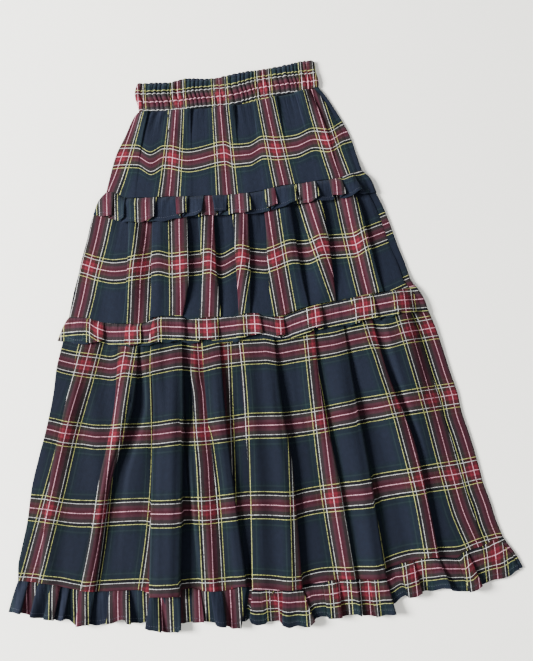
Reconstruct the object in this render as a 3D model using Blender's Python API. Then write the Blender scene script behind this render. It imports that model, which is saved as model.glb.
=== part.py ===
# Tiered ruffle skirt, laid flat. Each sewn piece is a wall of cloth that follows a row of
# folds across the skirt and turns under at its sides, so that front and back close a
# flattened tube. X runs across the skirt, +Y from the hem to the waist, +Z up.

import bisect
import math
from collections import namedtuple

import bpy
import numpy as np

# Cloth and layers (metres)
WALL = 0.0010  # cloth with its brushed face
CASING_WALL = 0.0024  # two layers with the elastic between them
GAP = 0.0003  # between pieces that touch
SEAM_GAP = 0.0004  # down the skirt, from one piece to the next
TUCK = 0.0012  # the same under a frill, where the tiers' edges don't show
LAYER = WALL + GAP  # from the middle of one layer to the middle of the next
FOLD_RISE = 0.0036  # from the cloth beside a fold to the cloth on top of it
FADE = 0.4  # how a fold that hides little cloth loses its height
SLOPE_SHARE = 0.4  # share of a shallow fold's slope that is straight
FOLD_MARGIN = 0.0012  # plain cloth kept at both ends of a fold
PLAIN_SPAN = 0.017  # longest stretch of plain cloth between two points across the front
BACK_MARGIN = 0.06  # share of the width from each side to the back's first and last points
BEND_STEPS = (0.25, 0.75)  # points on each bend, as shares of its turn
SIDE_TURN = (90, 30, -30, -90)  # points round a side, in degrees

# Heights of the layers' middles above the surface
FLOOR_LAYER = WALL / 2
OVER_FRILL = FLOOR_LAYER + LAYER  # a back tier where the frill lies under it
FRILL_ON_TIER = OVER_FRILL + LAYER + FOLD_RISE + LAYER  # a front frill over the tier's folds
CASING_BACK = CASING_WALL / 2
CASING_FRONT = CASING_BACK + CASING_WALL + GAP

# Lines across the skirt, as (x, y) from its left side to its right side
WAIST_EDGE = ((-0.1505, 0.8680), (-0.0700, 0.8705), (0.0, 0.8730), (0.0700, 0.8810),
              (0.1455, 0.8890))
CASING_SEAM = ((-0.1510, 0.8195), (-0.0700, 0.8185), (0.0, 0.8200), (0.0500, 0.8265),
               (0.1000, 0.8340), (0.1490, 0.8425))
UPPER_SEAM = ((-0.2090, 0.6855), (-0.1850, 0.6760), (-0.1500, 0.6720), (-0.0500, 0.6705),
              (0.0500, 0.6750), (0.1000, 0.6800), (0.1500, 0.6825), (0.1850, 0.6875),
              (0.2090, 0.6935))
UPPER_FRILL_EDGE = ((-0.2325, 0.6490), (-0.1900, 0.6350), (-0.1500, 0.6310),
                    (-0.0500, 0.6320), (0.0300, 0.6330), (0.0800, 0.6400),
                    (0.1300, 0.6460), (0.1800, 0.6490), (0.2305, 0.6560))
MIDDLE_SEAM = ((-0.2750, 0.4810), (-0.2200, 0.4690), (-0.1600, 0.4625), (-0.0500, 0.4615),
               (0.0300, 0.4610), (0.0800, 0.4655), (0.1200, 0.4755), (0.1700, 0.4810),
               (0.2200, 0.4850), (0.2790, 0.4935))
MIDDLE_FRILL_EDGE = ((-0.2945, 0.4435), (-0.2500, 0.4345), (-0.2000, 0.4300),
                     (-0.1500, 0.4255), (-0.1000, 0.4265), (-0.0500, 0.4250),
                     (0.0, 0.4270), (0.0600, 0.4240), (0.1000, 0.4280), (0.1300, 0.4370),
                     (0.1900, 0.4420), (0.2350, 0.4460), (0.2955, 0.4530))
HEM_SEAM = ((-0.3620, 0.0845), (-0.3200, 0.0775), (-0.2800, 0.0670), (-0.2400, 0.0605),
            (-0.1800, 0.0575), (-0.1000, 0.0545), (0.0, 0.0515), (0.0600, 0.0510),
            (0.1000, 0.0530), (0.1450, 0.0540), (0.1900, 0.0635), (0.2400, 0.0715),
            (0.2800, 0.0760), (0.3200, 0.0840), (0.3730, 0.1000))
HEM_EDGE = ((-0.3770, 0.0420), (-0.3250, 0.0290), (-0.2750, 0.0190), (-0.2250, 0.0155),
            (-0.1740, 0.0110), (-0.1710, 0.0010), (-0.1220, 0.0005), (-0.1180, 0.0080),
            (-0.0660, 0.0050), (-0.0330, 0.0010), (0.0290, -0.0020), (0.0780, -0.0040),
            (0.0980, 0.0010), (0.1500, 0.0020), (0.1990, 0.0010), (0.2020, 0.0170),
            (0.2400, 0.0270), (0.2900, 0.0275), (0.3350, 0.0340), (0.3760, 0.0420),
            (0.3985, 0.0500))

# Stretches of the hem seam that hang lower than the rest, beside a fold
Step = namedtuple("Step", "left right drop_left drop_right")
HEM_STEPS = (
    Step(-0.1650, -0.1185, 0.0080, 0.0080),
    Step(-0.0115, 0.0635, 0.0035, 0.0050),
    Step(0.1455, 0.1900, 0.0020, 0.0125),
)
STEP_SLOPE = 0.0016  # width over which a step falls
STEP_FADE = 4  # power with which a step fades up the tier

# Folds. x and the cloth hidden in the fold are given at four depths of the piece, as shares
# of its length. side 1: the cloth at the left lies on top, side -1: the cloth at the right.
DEPTHS = (0.0, 0.3, 0.6, 1.0)
Fold = namedtuple("Fold", "x_top x_upper x_lower x_bottom top upper lower bottom side")

UPPER_FOLDS = (
    Fold(-0.1340, -0.1560, -0.1730, -0.1860, 0.0110, 0.0060, 0.0015, 0.0004, 1),
    Fold(-0.1180, -0.1330, -0.1460, -0.1550, 0.0130, 0.0090, 0.0020, 0.0004, -1),
    Fold(-0.0900, -0.1020, -0.1120, -0.1200, 0.0080, 0.0030, 0.0010, 0.0004, -1),
    Fold(-0.0640, -0.0720, -0.0780, -0.0820, 0.0090, 0.0040, 0.0010, 0.0004, 1),
    Fold(-0.0380, -0.0430, -0.0470, -0.0500, 0.0090, 0.0030, 0.0010, 0.0004, -1),
    Fold(0.0080, 0.0110, 0.0130, 0.0150, 0.0080, 0.0030, 0.0008, 0.0004, 1),
    Fold(0.0310, 0.0380, 0.0430, 0.0470, 0.0090, 0.0040, 0.0010, 0.0004, -1),
    Fold(0.0780, 0.0920, 0.1030, 0.1110, 0.0080, 0.0040, 0.0012, 0.0004, 1),
    Fold(0.1080, 0.1250, 0.1390, 0.1480, 0.0090, 0.0060, 0.0015, 0.0004, -1),
    Fold(0.1290, 0.1490, 0.1620, 0.1720, 0.0060, 0.0040, 0.0010, 0.0004, 1),
)
MIDDLE_FOLDS = (
    Fold(-0.1730, -0.1760, -0.1800, -0.1890, 0.0150, 0.0100, 0.0080, 0.0040, -1),
    Fold(-0.1320, -0.1370, -0.1410, -0.1450, 0.0370, 0.0320, 0.0270, 0.0260, -1),
    Fold(-0.0800, -0.0800, -0.0810, -0.0950, 0.0500, 0.0430, 0.0400, 0.0460, 1),
    Fold(-0.0600, -0.0610, -0.0600, -0.0680, 0.0140, 0.0090, 0.0060, 0.0010, -1),
    Fold(-0.0360, -0.0370, -0.0370, -0.0340, 0.0150, 0.0170, 0.0160, 0.0030, 1),
    Fold(-0.0065, -0.0060, -0.0055, -0.0060, 0.0280, 0.0270, 0.0300, 0.0440, -1),
    Fold(0.0190, 0.0180, 0.0170, 0.0120, 0.0180, 0.0150, 0.0130, 0.0080, 1),
    Fold(0.0430, 0.0460, 0.0450, 0.0460, 0.0170, 0.0160, 0.0140, 0.0120, -1),
    Fold(0.0850, 0.0900, 0.0950, 0.1050, 0.0220, 0.0180, 0.0150, 0.0040, 1),
    Fold(0.1360, 0.1420, 0.1465, 0.1490, 0.0280, 0.0330, 0.0400, 0.0480, 1),
    Fold(0.1800, 0.2020, 0.2120, 0.2250, 0.0150, 0.0110, 0.0080, 0.0030, 1),
)
LOWER_FOLDS = (
    Fold(-0.2480, -0.2780, -0.3080, -0.3300, 0.0260, 0.0160, 0.0060, 0.0025, -1),
    Fold(-0.1940, -0.2060, -0.2330, -0.2720, 0.0420, 0.0230, 0.0140, 0.0050, -1),
    Fold(-0.1620, -0.1760, -0.2140, -0.2460, 0.0200, 0.0170, 0.0085, 0.0030, 1),
    Fold(-0.1460, -0.1460, -0.1540, -0.1650, 0.0340, 0.0340, 0.0330, 0.0230, -1),
    Fold(-0.0965, -0.1000, -0.1070, -0.1185, 0.0500, 0.0560, 0.0600, 0.0620, 1),
    Fold(-0.0840, -0.0800, -0.0760, -0.0740, 0.0400, 0.0180, 0.0040, 0.0025, -1),
    Fold(-0.0390, -0.0370, -0.0310, -0.0190, 0.0420, 0.0500, 0.0500, 0.0520, 1),
    Fold(-0.0085, -0.0070, -0.0060, -0.0115, 0.0560, 0.0630, 0.0680, 0.0800, -1),
    Fold(0.0460, 0.0505, 0.0620, 0.0635, 0.0460, 0.0500, 0.0430, 0.0295, 1),
    Fold(0.1090, 0.1130, 0.1300, 0.1460, 0.0310, 0.0150, 0.0080, 0.0040, 1),
    Fold(0.1550, 0.1650, 0.1780, 0.1900, 0.0560, 0.0540, 0.0480, 0.0390, 1),
    Fold(0.1960, 0.2190, 0.2530, 0.2720, 0.0320, 0.0480, 0.0460, 0.0340, 1),
)


def frill_fold(x_top, x_bottom, top, bottom, side):
    """A fold of a frill, which changes evenly from its seam to its free edge."""
    places = [x_top + (x_bottom - x_top) * depth for depth in DEPTHS]
    hidden = [top + (bottom - top) * depth for depth in DEPTHS]
    return Fold(*places, *hidden, side)


def carried_fold(tier_fold, x_bottom, bottom):
    """The frill's stretch of a fold that runs down the tier above it."""
    return frill_fold(tier_fold.x_bottom, x_bottom, tier_fold.bottom, bottom, tier_fold.side)


UPPER_FRILL_FOLDS = (
    frill_fold(-0.1980, -0.2020, 0.0100, 0.0130, 1),
    frill_fold(-0.1690, -0.1740, 0.0160, 0.0200, 1),
    frill_fold(-0.1270, -0.1310, 0.0190, 0.0240, 1),
    frill_fold(-0.0960, -0.0955, 0.0200, 0.0230, -1),
    frill_fold(-0.0760, -0.0800, 0.0160, 0.0200, 1),
    frill_fold(-0.0510, -0.0545, 0.0200, 0.0250, 1),
    frill_fold(-0.0370, -0.0340, 0.0060, 0.0090, -1),
    frill_fold(-0.0130, -0.0160, 0.0220, 0.0270, 1),
    frill_fold(0.0220, 0.0265, 0.0220, 0.0250, 1),
    frill_fold(0.0470, 0.0500, 0.0070, 0.0090, -1),
    frill_fold(0.0640, 0.0670, 0.0160, 0.0220, 1),
    frill_fold(0.0960, 0.1020, 0.0150, 0.0190, 1),
    frill_fold(0.1310, 0.1370, 0.0180, 0.0220, 1),
    frill_fold(0.1530, 0.1560, 0.0060, 0.0080, -1),
    frill_fold(0.1720, 0.1790, 0.0160, 0.0220, 1),
    frill_fold(0.1930, 0.2060, 0.0060, 0.0110, 1),
)
MIDDLE_FRILL_FOLDS = (
    frill_fold(-0.2470, -0.2530, 0.0180, 0.0200, -1),
    frill_fold(-0.2190, -0.2190, 0.0130, 0.0150, 1),
    frill_fold(-0.1830, -0.1870, 0.0180, 0.0200, -1),
    frill_fold(-0.1600, -0.1600, 0.0150, 0.0160, 1),
    frill_fold(-0.1400, -0.1490, 0.0260, 0.0280, -1),
    frill_fold(-0.0910, -0.0920, 0.0300, 0.0340, 1),
    frill_fold(-0.0750, -0.0750, 0.0110, 0.0120, -1),
    frill_fold(-0.0390, -0.0400, 0.0200, 0.0220, 1),
    frill_fold(-0.0090, -0.0120, 0.0260, 0.0300, -1),
    frill_fold(0.0270, 0.0300, 0.0120, 0.0140, 1),
    frill_fold(0.0500, 0.0510, 0.0120, 0.0140, -1),
    frill_fold(0.0640, 0.0650, 0.0120, 0.0140, 1),
    frill_fold(0.1010, 0.1020, 0.0180, 0.0200, -1),
    frill_fold(0.1250, 0.1260, 0.0180, 0.0200, 1),
    frill_fold(0.1720, 0.1760, 0.0160, 0.0190, -1),
    frill_fold(0.2070, 0.2120, 0.0140, 0.0150, 1),
    frill_fold(0.2330, 0.2400, 0.0090, 0.0110, -1),
)
# Shallow waves of the hem frill start from next to nothing at its seam
START = 0.0025
HEM_LEFT_FOLDS = (
    frill_fold(-0.3450, -0.3570, START, 0.0110, 1),
    carried_fold(LOWER_FOLDS[0], -0.3430, 0.0130),
    frill_fold(-0.3120, -0.3230, START, 0.0080, -1),
    frill_fold(-0.2980, -0.3080, START, 0.0150, 1),
    frill_fold(-0.2840, -0.2930, START, 0.0100, 1),
    carried_fold(LOWER_FOLDS[1], -0.2750, 0.0150),
    carried_fold(LOWER_FOLDS[2], -0.2560, 0.0110),
    frill_fold(-0.2250, -0.2300, START, 0.0120, -1),
    frill_fold(-0.2000, -0.2020, START, 0.0140, 1),
    carried_fold(LOWER_FOLDS[3], -0.1730, 0.0200),
    frill_fold(-0.1510, -0.1490, START, 0.0060, 1),
    carried_fold(LOWER_FOLDS[4], -0.1200, 0.0300),
    frill_fold(-0.1020, -0.1020, START, 0.0110, -1),
    frill_fold(-0.0880, -0.0850, START, 0.0110, 1),
    carried_fold(LOWER_FOLDS[5], -0.0680, 0.0130),
    frill_fold(-0.0560, -0.0520, START, 0.0060, 1),
    carried_fold(LOWER_FOLDS[6], -0.0310, 0.0200),
)
HEM_RIGHT_FOLDS = (
    carried_fold(LOWER_FOLDS[7], -0.0180, 0.0320),
    frill_fold(0.0340, 0.0300, START, 0.0080, -1),
    carried_fold(LOWER_FOLDS[8], 0.0790, 0.0240),
    frill_fold(0.0940, 0.0990, START, 0.0100, -1),
    frill_fold(0.1170, 0.1200, START, 0.0110, 1),
    carried_fold(LOWER_FOLDS[9], 0.1490, 0.0110),
    frill_fold(0.1620, 0.1700, START, 0.0050, -1),
    carried_fold(LOWER_FOLDS[10], 0.2000, 0.0240),
    frill_fold(0.2120, 0.2200, START, 0.0090, -1),
    frill_fold(0.2330, 0.2420, START, 0.0100, 1),
    carried_fold(LOWER_FOLDS[11], 0.2870, 0.0200),
    frill_fold(0.3000, 0.3120, START, 0.0110, -1),
    frill_fold(0.3160, 0.3320, START, 0.0110, 1),
)
HEM_JOIN = (-0.0152, -0.0245)  # x of the join of the two front strips, at seam and edge

# How far inside the outline each side seam lies
UPPER_SIDE = 0.008
MIDDLE_SIDE = 0.012
LOWER_SIDE = 0.029
FRILL_OVERHANG = (0.0035, 0.0025)  # a frill's turn outside its lines, at its seam and edge
FRILL_LIFT = 0.0045  # how far a frill's free edge curls up beside a fold
HEM_LIFT = 0.0055
EDGE_LIFT = (1.0, 1.0, 0.0, 0.0)  # along a fold, from the layer on top to the one below
PLAIN_LIFT = 0.3  # beside a fold, on the layer that lies on top

BACK_COLUMNS = 14  # points across a back, which lies flat
GATHERS = 38  # small gathers across one side of the casing
GATHER_DEPTH = 0.0005
GATHER_SCALLOP = 0.0008  # how far the waist edge rises over each gather

# Rows down each piece, as shares of its length
CASING_ROWS = (0.0, 0.3, 0.75, 1.0)
UPPER_ROWS = (0.0, 0.25, 0.65, 1.0)
MIDDLE_ROWS = (0.0, 0.2, 0.45, 0.72, 1.0)
LOWER_ROWS = (0.0, 0.1, 0.3, 0.55, 0.82, 1.0)
FRILL_ROWS = (0.0, 0.5, 1.0)

# Height of a piece's plain cloth down its length, as (share of length, height) pairs
UPPER_FRONT_LEVEL = ((0.0, 0.0034), (0.25, 0.0022), (0.65, FLOOR_LAYER + LAYER),
                     (1.0, 0.0040))
MIDDLE_BACK_LEVEL = ((0.0, OVER_FRILL), (0.2, OVER_FRILL), (0.4, FLOOR_LAYER))
LOWER_BACK_LEVEL = ((0.0, OVER_FRILL), (0.1, OVER_FRILL), (0.3, FLOOR_LAYER))
FLOOR_LEVEL = ((0.0, FLOOR_LAYER),)
HEM_FRONT_LEVEL = ((0.0, FLOOR_LAYER + LAYER), (1.0, FLOOR_LAYER + 2 * LAYER))
FRILL_FRONT_LEVEL = ((0.0, FRILL_ON_TIER),)
CASING_BACK_LEVEL = ((0.0, CASING_BACK),)
CASING_FRONT_LEVEL = ((0.0, CASING_FRONT),)

# Colours (linear RGB) of the flannel as it reads from a step away
NAVY = (0.022, 0.030, 0.052)
RED_BAND = (0.080, 0.032, 0.040)
FLANNEL_ROUGHNESS = 0.95

Point = namedtuple("Point", "x z nx nz lift")


def along(pairs, share):
    """Reads a table of (share, value) pairs."""
    return float(np.interp(share, [pair[0] for pair in pairs], [pair[1] for pair in pairs]))


class Line:
    """A smooth line through its points that never swings past them."""

    def __init__(self, points):
        self.x = [point[0] for point in points]
        self.y = [point[1] for point in points]
        slopes = [
            (self.y[i + 1] - self.y[i]) / (self.x[i + 1] - self.x[i])
            for i in range(len(points) - 1)
        ]
        self.slopes = [slopes[0]]
        for before, after in zip(slopes, slopes[1:]):
            turns = before * after <= 0
            self.slopes.append(0.0 if turns else 2 * before * after / (before + after))
        self.slopes.append(slopes[-1])

    def at(self, x):
        i = min(max(bisect.bisect_right(self.x, x) - 1, 0), len(self.x) - 2)
        width = self.x[i + 1] - self.x[i]
        u = min(1.0, max(0.0, (x - self.x[i]) / width))
        value = self.y[i] * (1 + 2 * u) * (1 - u) ** 2 + self.y[i + 1] * u * u * (3 - 2 * u)
        value += self.slopes[i] * width * u * (1 - u) ** 2
        return value - self.slopes[i + 1] * width * u * u * (1 - u)


def raised(level, height):
    return tuple((share, value + height) for share, value in level)


class Strip:
    """The ground that a piece covers, between the line at its top and the one at its foot."""

    def __init__(self, top, foot, bulge=(0.0, 0.0), gap=SEAM_GAP, fade=None, overhang=(0.0, 0.0)):
        self.top, self.foot = Line(top), Line(foot)
        self.bulge, self.gap = bulge, gap
        self.fade, self.overhang = fade, overhang

    def edge(self, end, depth):
        """x of the left (0) or right (-1) side of the lines at a depth."""
        start, finish = self.top.x[end], self.foot.x[end]
        return start + (finish - start) * depth + self.bulge[end] * 4 * depth * (1 - depth)

    def side(self, end, depth):
        """x of the outline, which may turn outside the lines."""
        outward = self.overhang[0] + (self.overhang[1] - self.overhang[0]) * depth
        return self.edge(end, depth) + (-outward if end == 0 else outward)

    def share(self, x, depth):
        left, right = self.edge(0, depth), self.edge(-1, depth)
        return min(1.0, max(0.0, (x - left) / (right - left)))

    def y(self, x, depth, stepped=True):
        share = self.share(x, depth)
        top_x = self.top.x[0] + share * (self.top.x[-1] - self.top.x[0])
        foot_x = self.foot.x[0] + share * (self.foot.x[-1] - self.foot.x[0])
        top = self.top.at(top_x) - self.gap
        y = top + (self.foot.at(foot_x) - top) * depth
        if self.fade and stepped:
            seam_x = HEM_SEAM[0][0] + share * (HEM_SEAM[-1][0] - HEM_SEAM[0][0])
            y -= self.fade(depth) * step_drop(seam_x)
        return y


def step_drop(x):
    """How far the hem seam hangs below its smooth line at x."""
    total = 0.0
    for step in HEM_STEPS:
        drop = float(np.interp(x, (step.left, step.right), (step.drop_left, step.drop_right)))
        total += drop * ramp(x, step.left) * (1 - ramp(x, step.right))
    return total


def ramp(x, edge):
    return min(1.0, max(0.0, (x - edge) / STEP_SLOPE + 0.5))


def fold_points(edge, hidden, side, squeeze):
    """One fold from left to right, and the heights of the cloth at its left and right."""
    full = math.pi / 2 * FOLD_RISE  # cloth that a fold takes before its layers overlap
    height = FOLD_RISE * min(1.0, hidden / full) ** FADE
    turn = min(math.pi, 2 * hidden / height)
    overlap = max(0.0, (hidden - full) / 2)
    cosine, sine = math.cos(turn / 2), math.sin(turn / 2)
    radius = height * (1 - SLOPE_SHARE * cosine**2) / (4 * sine**2)
    straight = overlap * squeeze + SLOPE_SHARE * height / 2 * cosine / sine
    width = 2 * radius * math.sin(turn) + straight * math.cos(turn)
    open_squeeze = squeeze if width > 0 else 1.0
    start = edge - height / 4 - max(0.0, width) * open_squeeze / 2
    points = []
    for share in BEND_STEPS:
        angle = turn * share
        x = start + radius * math.sin(angle) * open_squeeze
        z = height - radius * (1 - math.cos(angle))
        points.append(Point(x, z, math.sin(angle), math.cos(angle), 0.0))
    for share in reversed(BEND_STEPS):
        angle = turn * share
        x = start + (width - radius * math.sin(angle)) * open_squeeze
        z = radius * (1 - math.cos(angle))
        points.append(Point(x, z, math.sin(angle), math.cos(angle), 0.0))
    points = [point._replace(lift=lift) for point, lift in zip(points, EDGE_LIFT)]
    if side < 0:
        points = [
            point._replace(x=2 * edge - point.x, nx=-point.nx) for point in reversed(points)
        ]
    levels = (height, 0.0) if side > 0 else (0.0, height)
    return points, levels


def fold_shapes(folds, depth, start, end):
    """Every fold's points at one depth, the overlaps shortened until each has room."""
    squeezes = [1.0] * len(folds)
    while True:
        shapes = []
        for fold, squeeze in zip(folds, squeezes):
            edge = float(np.interp(depth, DEPTHS, fold[0:4]))
            hidden = float(np.interp(depth, DEPTHS, fold[4:8]))
            shapes.append(fold_points(edge, hidden, fold.side, squeeze))
        borders = [start]
        for shape, _ in shapes:
            borders += [min(p.x for p in shape), max(p.x for p in shape)]
        borders.append(end)
        tight = []
        for i in range(len(folds) + 1):
            needed = (1.2 if i in (0, len(folds)) else 2.2) * FOLD_MARGIN
            if borders[2 * i + 1] - borders[2 * i] < needed:
                tight.append(i)
        if not tight:
            return shapes, borders
        if min(squeezes) < 0.02:
            raise ValueError(f"folds too close at depth {depth}: {tight}")
        for i in tight:
            for k in (i - 1, i):
                if 0 <= k < len(folds):
                    squeezes[k] *= 0.85


def folded_rows(folds, depths, starts, ends):
    """Rows of points over the folds, with enough points on the plain cloth between them."""
    found = [fold_shapes(folds, *place) for place in zip(depths, starts, ends)]
    plain = []
    for i in range(len(folds) + 1):
        widest = max(borders[2 * i + 1] - borders[2 * i] for _, borders in found)
        plain.append(max(1, math.ceil(widest / PLAIN_SPAN)))
    rows = []
    for shapes, borders in found:
        row = []
        for i, count in enumerate(plain):
            low = borders[2 * i] + (FOLD_MARGIN if i > 0 else 0.0)
            high = borders[2 * i + 1] - (FOLD_MARGIN if i < len(folds) else 0.0)
            level_low = shapes[i - 1][1][1] if i > 0 else 0.0
            level_high = shapes[i][1][0] if i < len(folds) else 0.0
            for k in range(count + 1):
                level = level_low + (level_high - level_low) * k / count
                lift = PLAIN_LIFT * level / FOLD_RISE
                row.append(Point(low + (high - low) * k / count, level, 0.0, 1.0, lift))
            if i < len(folds):
                row.extend(shapes[i][0])
        rows.append(row)
    return rows


def side_turn(x_side, back, front, direction):
    """Points round a side from the back's layer to the front's, direction -1 at the left."""
    radius = (front - back) / 2
    centre = x_side - direction * radius
    return [
        Point(centre + direction * radius * math.cos(math.radians(angle)),
              (front + back) / 2 - radius * math.sin(math.radians(angle)),
              direction * math.cos(math.radians(angle)), -math.sin(math.radians(angle)), 0.0)
        for angle in SIDE_TURN
    ]


def front_rows(strip, folds, depths, front, back, inset, right_end=None):
    """A front piece: from its side seam under the left side, round it and over the front."""
    under, starts, ends = [], [], []
    for depth in depths:
        z_front, z_back = along(front, depth), along(back, depth)
        left = strip.side(0, depth)
        turn = side_turn(left, z_back, z_front, -1)
        under.append([Point(strip.edge(0, depth) + inset, z_back, 0.0, -1.0, 0.0)] + turn)
        starts.append(turn[-1].x + FOLD_MARGIN)
        ends.append(right_end(depth) if right_end else strip.edge(-1, depth) - inset)
    rows = []
    for depth, row, top in zip(depths, under, folded_rows(folds, depths, starts, ends)):
        level = along(front, depth)
        rows.append((depth, row + [point._replace(z=point.z + level) for point in top]))
    return rows


def back_rows(strip, columns, depths, front, back, inset):
    """A back piece: from its seam on the front's right, round that side and flat below."""
    rows = []
    for depth in depths:
        z_front, z_back = along(front, depth), along(back, depth)
        left, right = strip.edge(0, depth), strip.edge(-1, depth)
        row = [Point(right - inset + GAP, z_front, 0.0, 1.0, 0.0)]
        row.extend(reversed(side_turn(strip.side(-1, depth), z_back, z_front, 1)))
        for share in np.linspace(1 - BACK_MARGIN, BACK_MARGIN, columns):
            x = left + float(share) * (right - left)
            row.append(Point(x, z_back, 0.0, -1.0, 0.0))
        row.append(Point(left + inset + GAP, z_back, 0.0, -1.0, 0.0))
        rows.append((depth, row))
    return rows


def wall_between(outer, inner):
    """Vertices and faces of the closed wall between two grids of points."""
    rows, columns = len(outer), len(outer[0])
    vertices = [point for grid in (outer, inner) for row in grid for point in row]

    def at(layer, row, column):
        return layer * rows * columns + row * columns + column

    faces = []
    for i in range(rows - 1):
        for j in range(columns - 1):
            faces.append((at(0, i, j), at(0, i + 1, j), at(0, i + 1, j + 1), at(0, i, j + 1)))
            faces.append((at(1, i, j), at(1, i, j + 1), at(1, i + 1, j + 1), at(1, i + 1, j)))
    for j in range(columns - 1):
        foot = rows - 1
        faces.append((at(0, 0, j), at(0, 0, j + 1), at(1, 0, j + 1), at(1, 0, j)))
        faces.append((at(0, foot, j), at(1, foot, j), at(1, foot, j + 1), at(0, foot, j + 1)))
    for i in range(rows - 1):
        far = columns - 1
        faces.append((at(0, i, 0), at(1, i, 0), at(1, i + 1, 0), at(0, i + 1, 0)))
        faces.append((at(0, i, far), at(0, i + 1, far), at(1, i + 1, far), at(1, i, far)))
    return vertices, faces


def flannel(name, colour):
    material = bpy.data.materials.new(name)
    material.use_nodes = True
    shader = material.node_tree.nodes["Principled BSDF"]
    shader.inputs["Base Color"].default_value = (*colour, 1.0)
    shader.inputs["Roughness"].default_value = FLANNEL_ROUGHNESS
    shader.inputs["Metallic"].default_value = 0.0
    return material


def sew(name, strip, rows, colour, wall=WALL, lift=0.0, gathers=False, stepped=True):
    """Builds one piece's wall from its rows and adds it to the scene."""
    outer, inner = [], []
    for depth, row in rows:
        outer_row, inner_row = [], []
        for column, point in enumerate(row):
            half = wall / 2
            swell = half
            y = strip.y(point.x, depth, stepped) + lift * depth * point.lift
            if gathers and point.nz > 0.9:
                wave = 1 if column % 2 else -1
                swell += GATHER_DEPTH * wave * math.sin(math.pi * depth)
                y += GATHER_SCALLOP * wave * (1 - depth)
            outer_row.append((point.x + point.nx * swell, y, point.z + point.nz * swell))
            inner_row.append((point.x - point.nx * half, y, point.z - point.nz * half))
        outer.append(outer_row)
        inner.append(inner_row)
    vertices, faces = wall_between(outer, inner)
    mesh = bpy.data.meshes.new(name)
    mesh.from_pydata(vertices, [], faces)
    mesh.validate()
    mesh.materials.append(flannel(name + "_flannel", colour))
    mesh.shade_smooth()
    mesh.set_sharp_from_angle(angle=math.radians(50))
    piece = bpy.data.objects.new(name, mesh)
    bpy.context.collection.objects.link(piece)
    return piece


def casing_front_rows(strip):
    rows = []
    for depth in CASING_ROWS:
        left, right = strip.side(0, depth), strip.side(-1, depth)
        turn = side_turn(left, CASING_BACK, CASING_FRONT, -1)
        row = [Point(left + UPPER_SIDE, CASING_BACK, 0.0, -1.0, 0.0)] + turn
        for x in np.linspace(turn[-1].x, right - UPPER_SIDE, 2 * GATHERS)[1:]:
            row.append(Point(float(x), CASING_FRONT, 0.0, 1.0, 0.0))
        rows.append((depth, row))
    return rows


def make_waistband():
    strip = Strip(WAIST_EDGE, CASING_SEAM, bulge=(-0.0050, 0.0010), gap=0.0)
    front = casing_front_rows(strip)
    sew("waistband_front", strip, front, NAVY, wall=CASING_WALL, gathers=True)
    back = back_rows(strip, BACK_COLUMNS, CASING_ROWS, CASING_FRONT_LEVEL, CASING_BACK_LEVEL,
                     UPPER_SIDE)
    sew("waistband_back", strip, back, NAVY, wall=CASING_WALL)


def make_tier(name, strip, folds, depths, back, front, inset):
    rows = front_rows(strip, folds, depths, front, back, inset)
    sew(name + "_front", strip, rows, NAVY)
    rows = back_rows(strip, BACK_COLUMNS, depths, front, back, inset)
    sew(name + "_back", strip, rows, NAVY, stepped=False)


def make_frill(name, strip, folds, inset, colour):
    rows = front_rows(strip, folds, FRILL_ROWS, FRILL_FRONT_LEVEL, FLOOR_LEVEL, inset)
    sew(name + "_front", strip, rows, colour, lift=FRILL_LIFT)
    rows = back_rows(strip, BACK_COLUMNS, FRILL_ROWS, FRILL_FRONT_LEVEL, FLOOR_LEVEL, inset)
    sew(name + "_back", strip, rows, colour)


def join_x(depth):
    return HEM_JOIN[0] + (HEM_JOIN[1] - HEM_JOIN[0]) * depth


def make_hem_frill():
    strip = Strip(HEM_SEAM, HEM_EDGE, fade=lambda depth: 1 - depth)
    rows = front_rows(strip, HEM_LEFT_FOLDS, FRILL_ROWS, HEM_FRONT_LEVEL, FLOOR_LEVEL,
                      LOWER_SIDE, right_end=join_x)
    sew("hem_ruffle_front_left", strip, rows, NAVY, lift=HEM_LIFT)
    starts = [join_x(depth) + GAP for depth in FRILL_ROWS]
    ends = [strip.side(-1, depth) - LOWER_SIDE for depth in FRILL_ROWS]
    rows = []
    for depth, row in zip(FRILL_ROWS, folded_rows(HEM_RIGHT_FOLDS, FRILL_ROWS, starts, ends)):
        level = along(HEM_FRONT_LEVEL, depth)
        rows.append((depth, [point._replace(z=point.z + level) for point in row]))
    sew("hem_ruffle_front_right", strip, rows, RED_BAND, lift=HEM_LIFT)
    back = back_rows(strip, BACK_COLUMNS, FRILL_ROWS, HEM_FRONT_LEVEL, FLOOR_LEVEL, LOWER_SIDE)
    sew("hem_ruffle_back", strip, back, NAVY, stepped=False)


def clear_scene():
    for thing in list(bpy.data.objects):
        bpy.data.objects.remove(thing, do_unlink=True)


def centre_on_origin():
    """Puts the middle of the skirt's box over the origin and its lowest points at z = 0."""
    pieces = [thing for thing in bpy.data.objects if thing.type == "MESH"]
    points = np.array([vertex.co for piece in pieces for vertex in piece.data.vertices])
    low, high = points.min(axis=0), points.max(axis=0)
    middle = ((low[0] + high[0]) / 2, (low[1] + high[1]) / 2, low[2])
    for piece in pieces:
        for vertex in piece.data.vertices:
            vertex.co = [value - shift for value, shift in zip(vertex.co, middle)]
    print("skirt moved by", [round(-value, 5) for value in middle])


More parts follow.
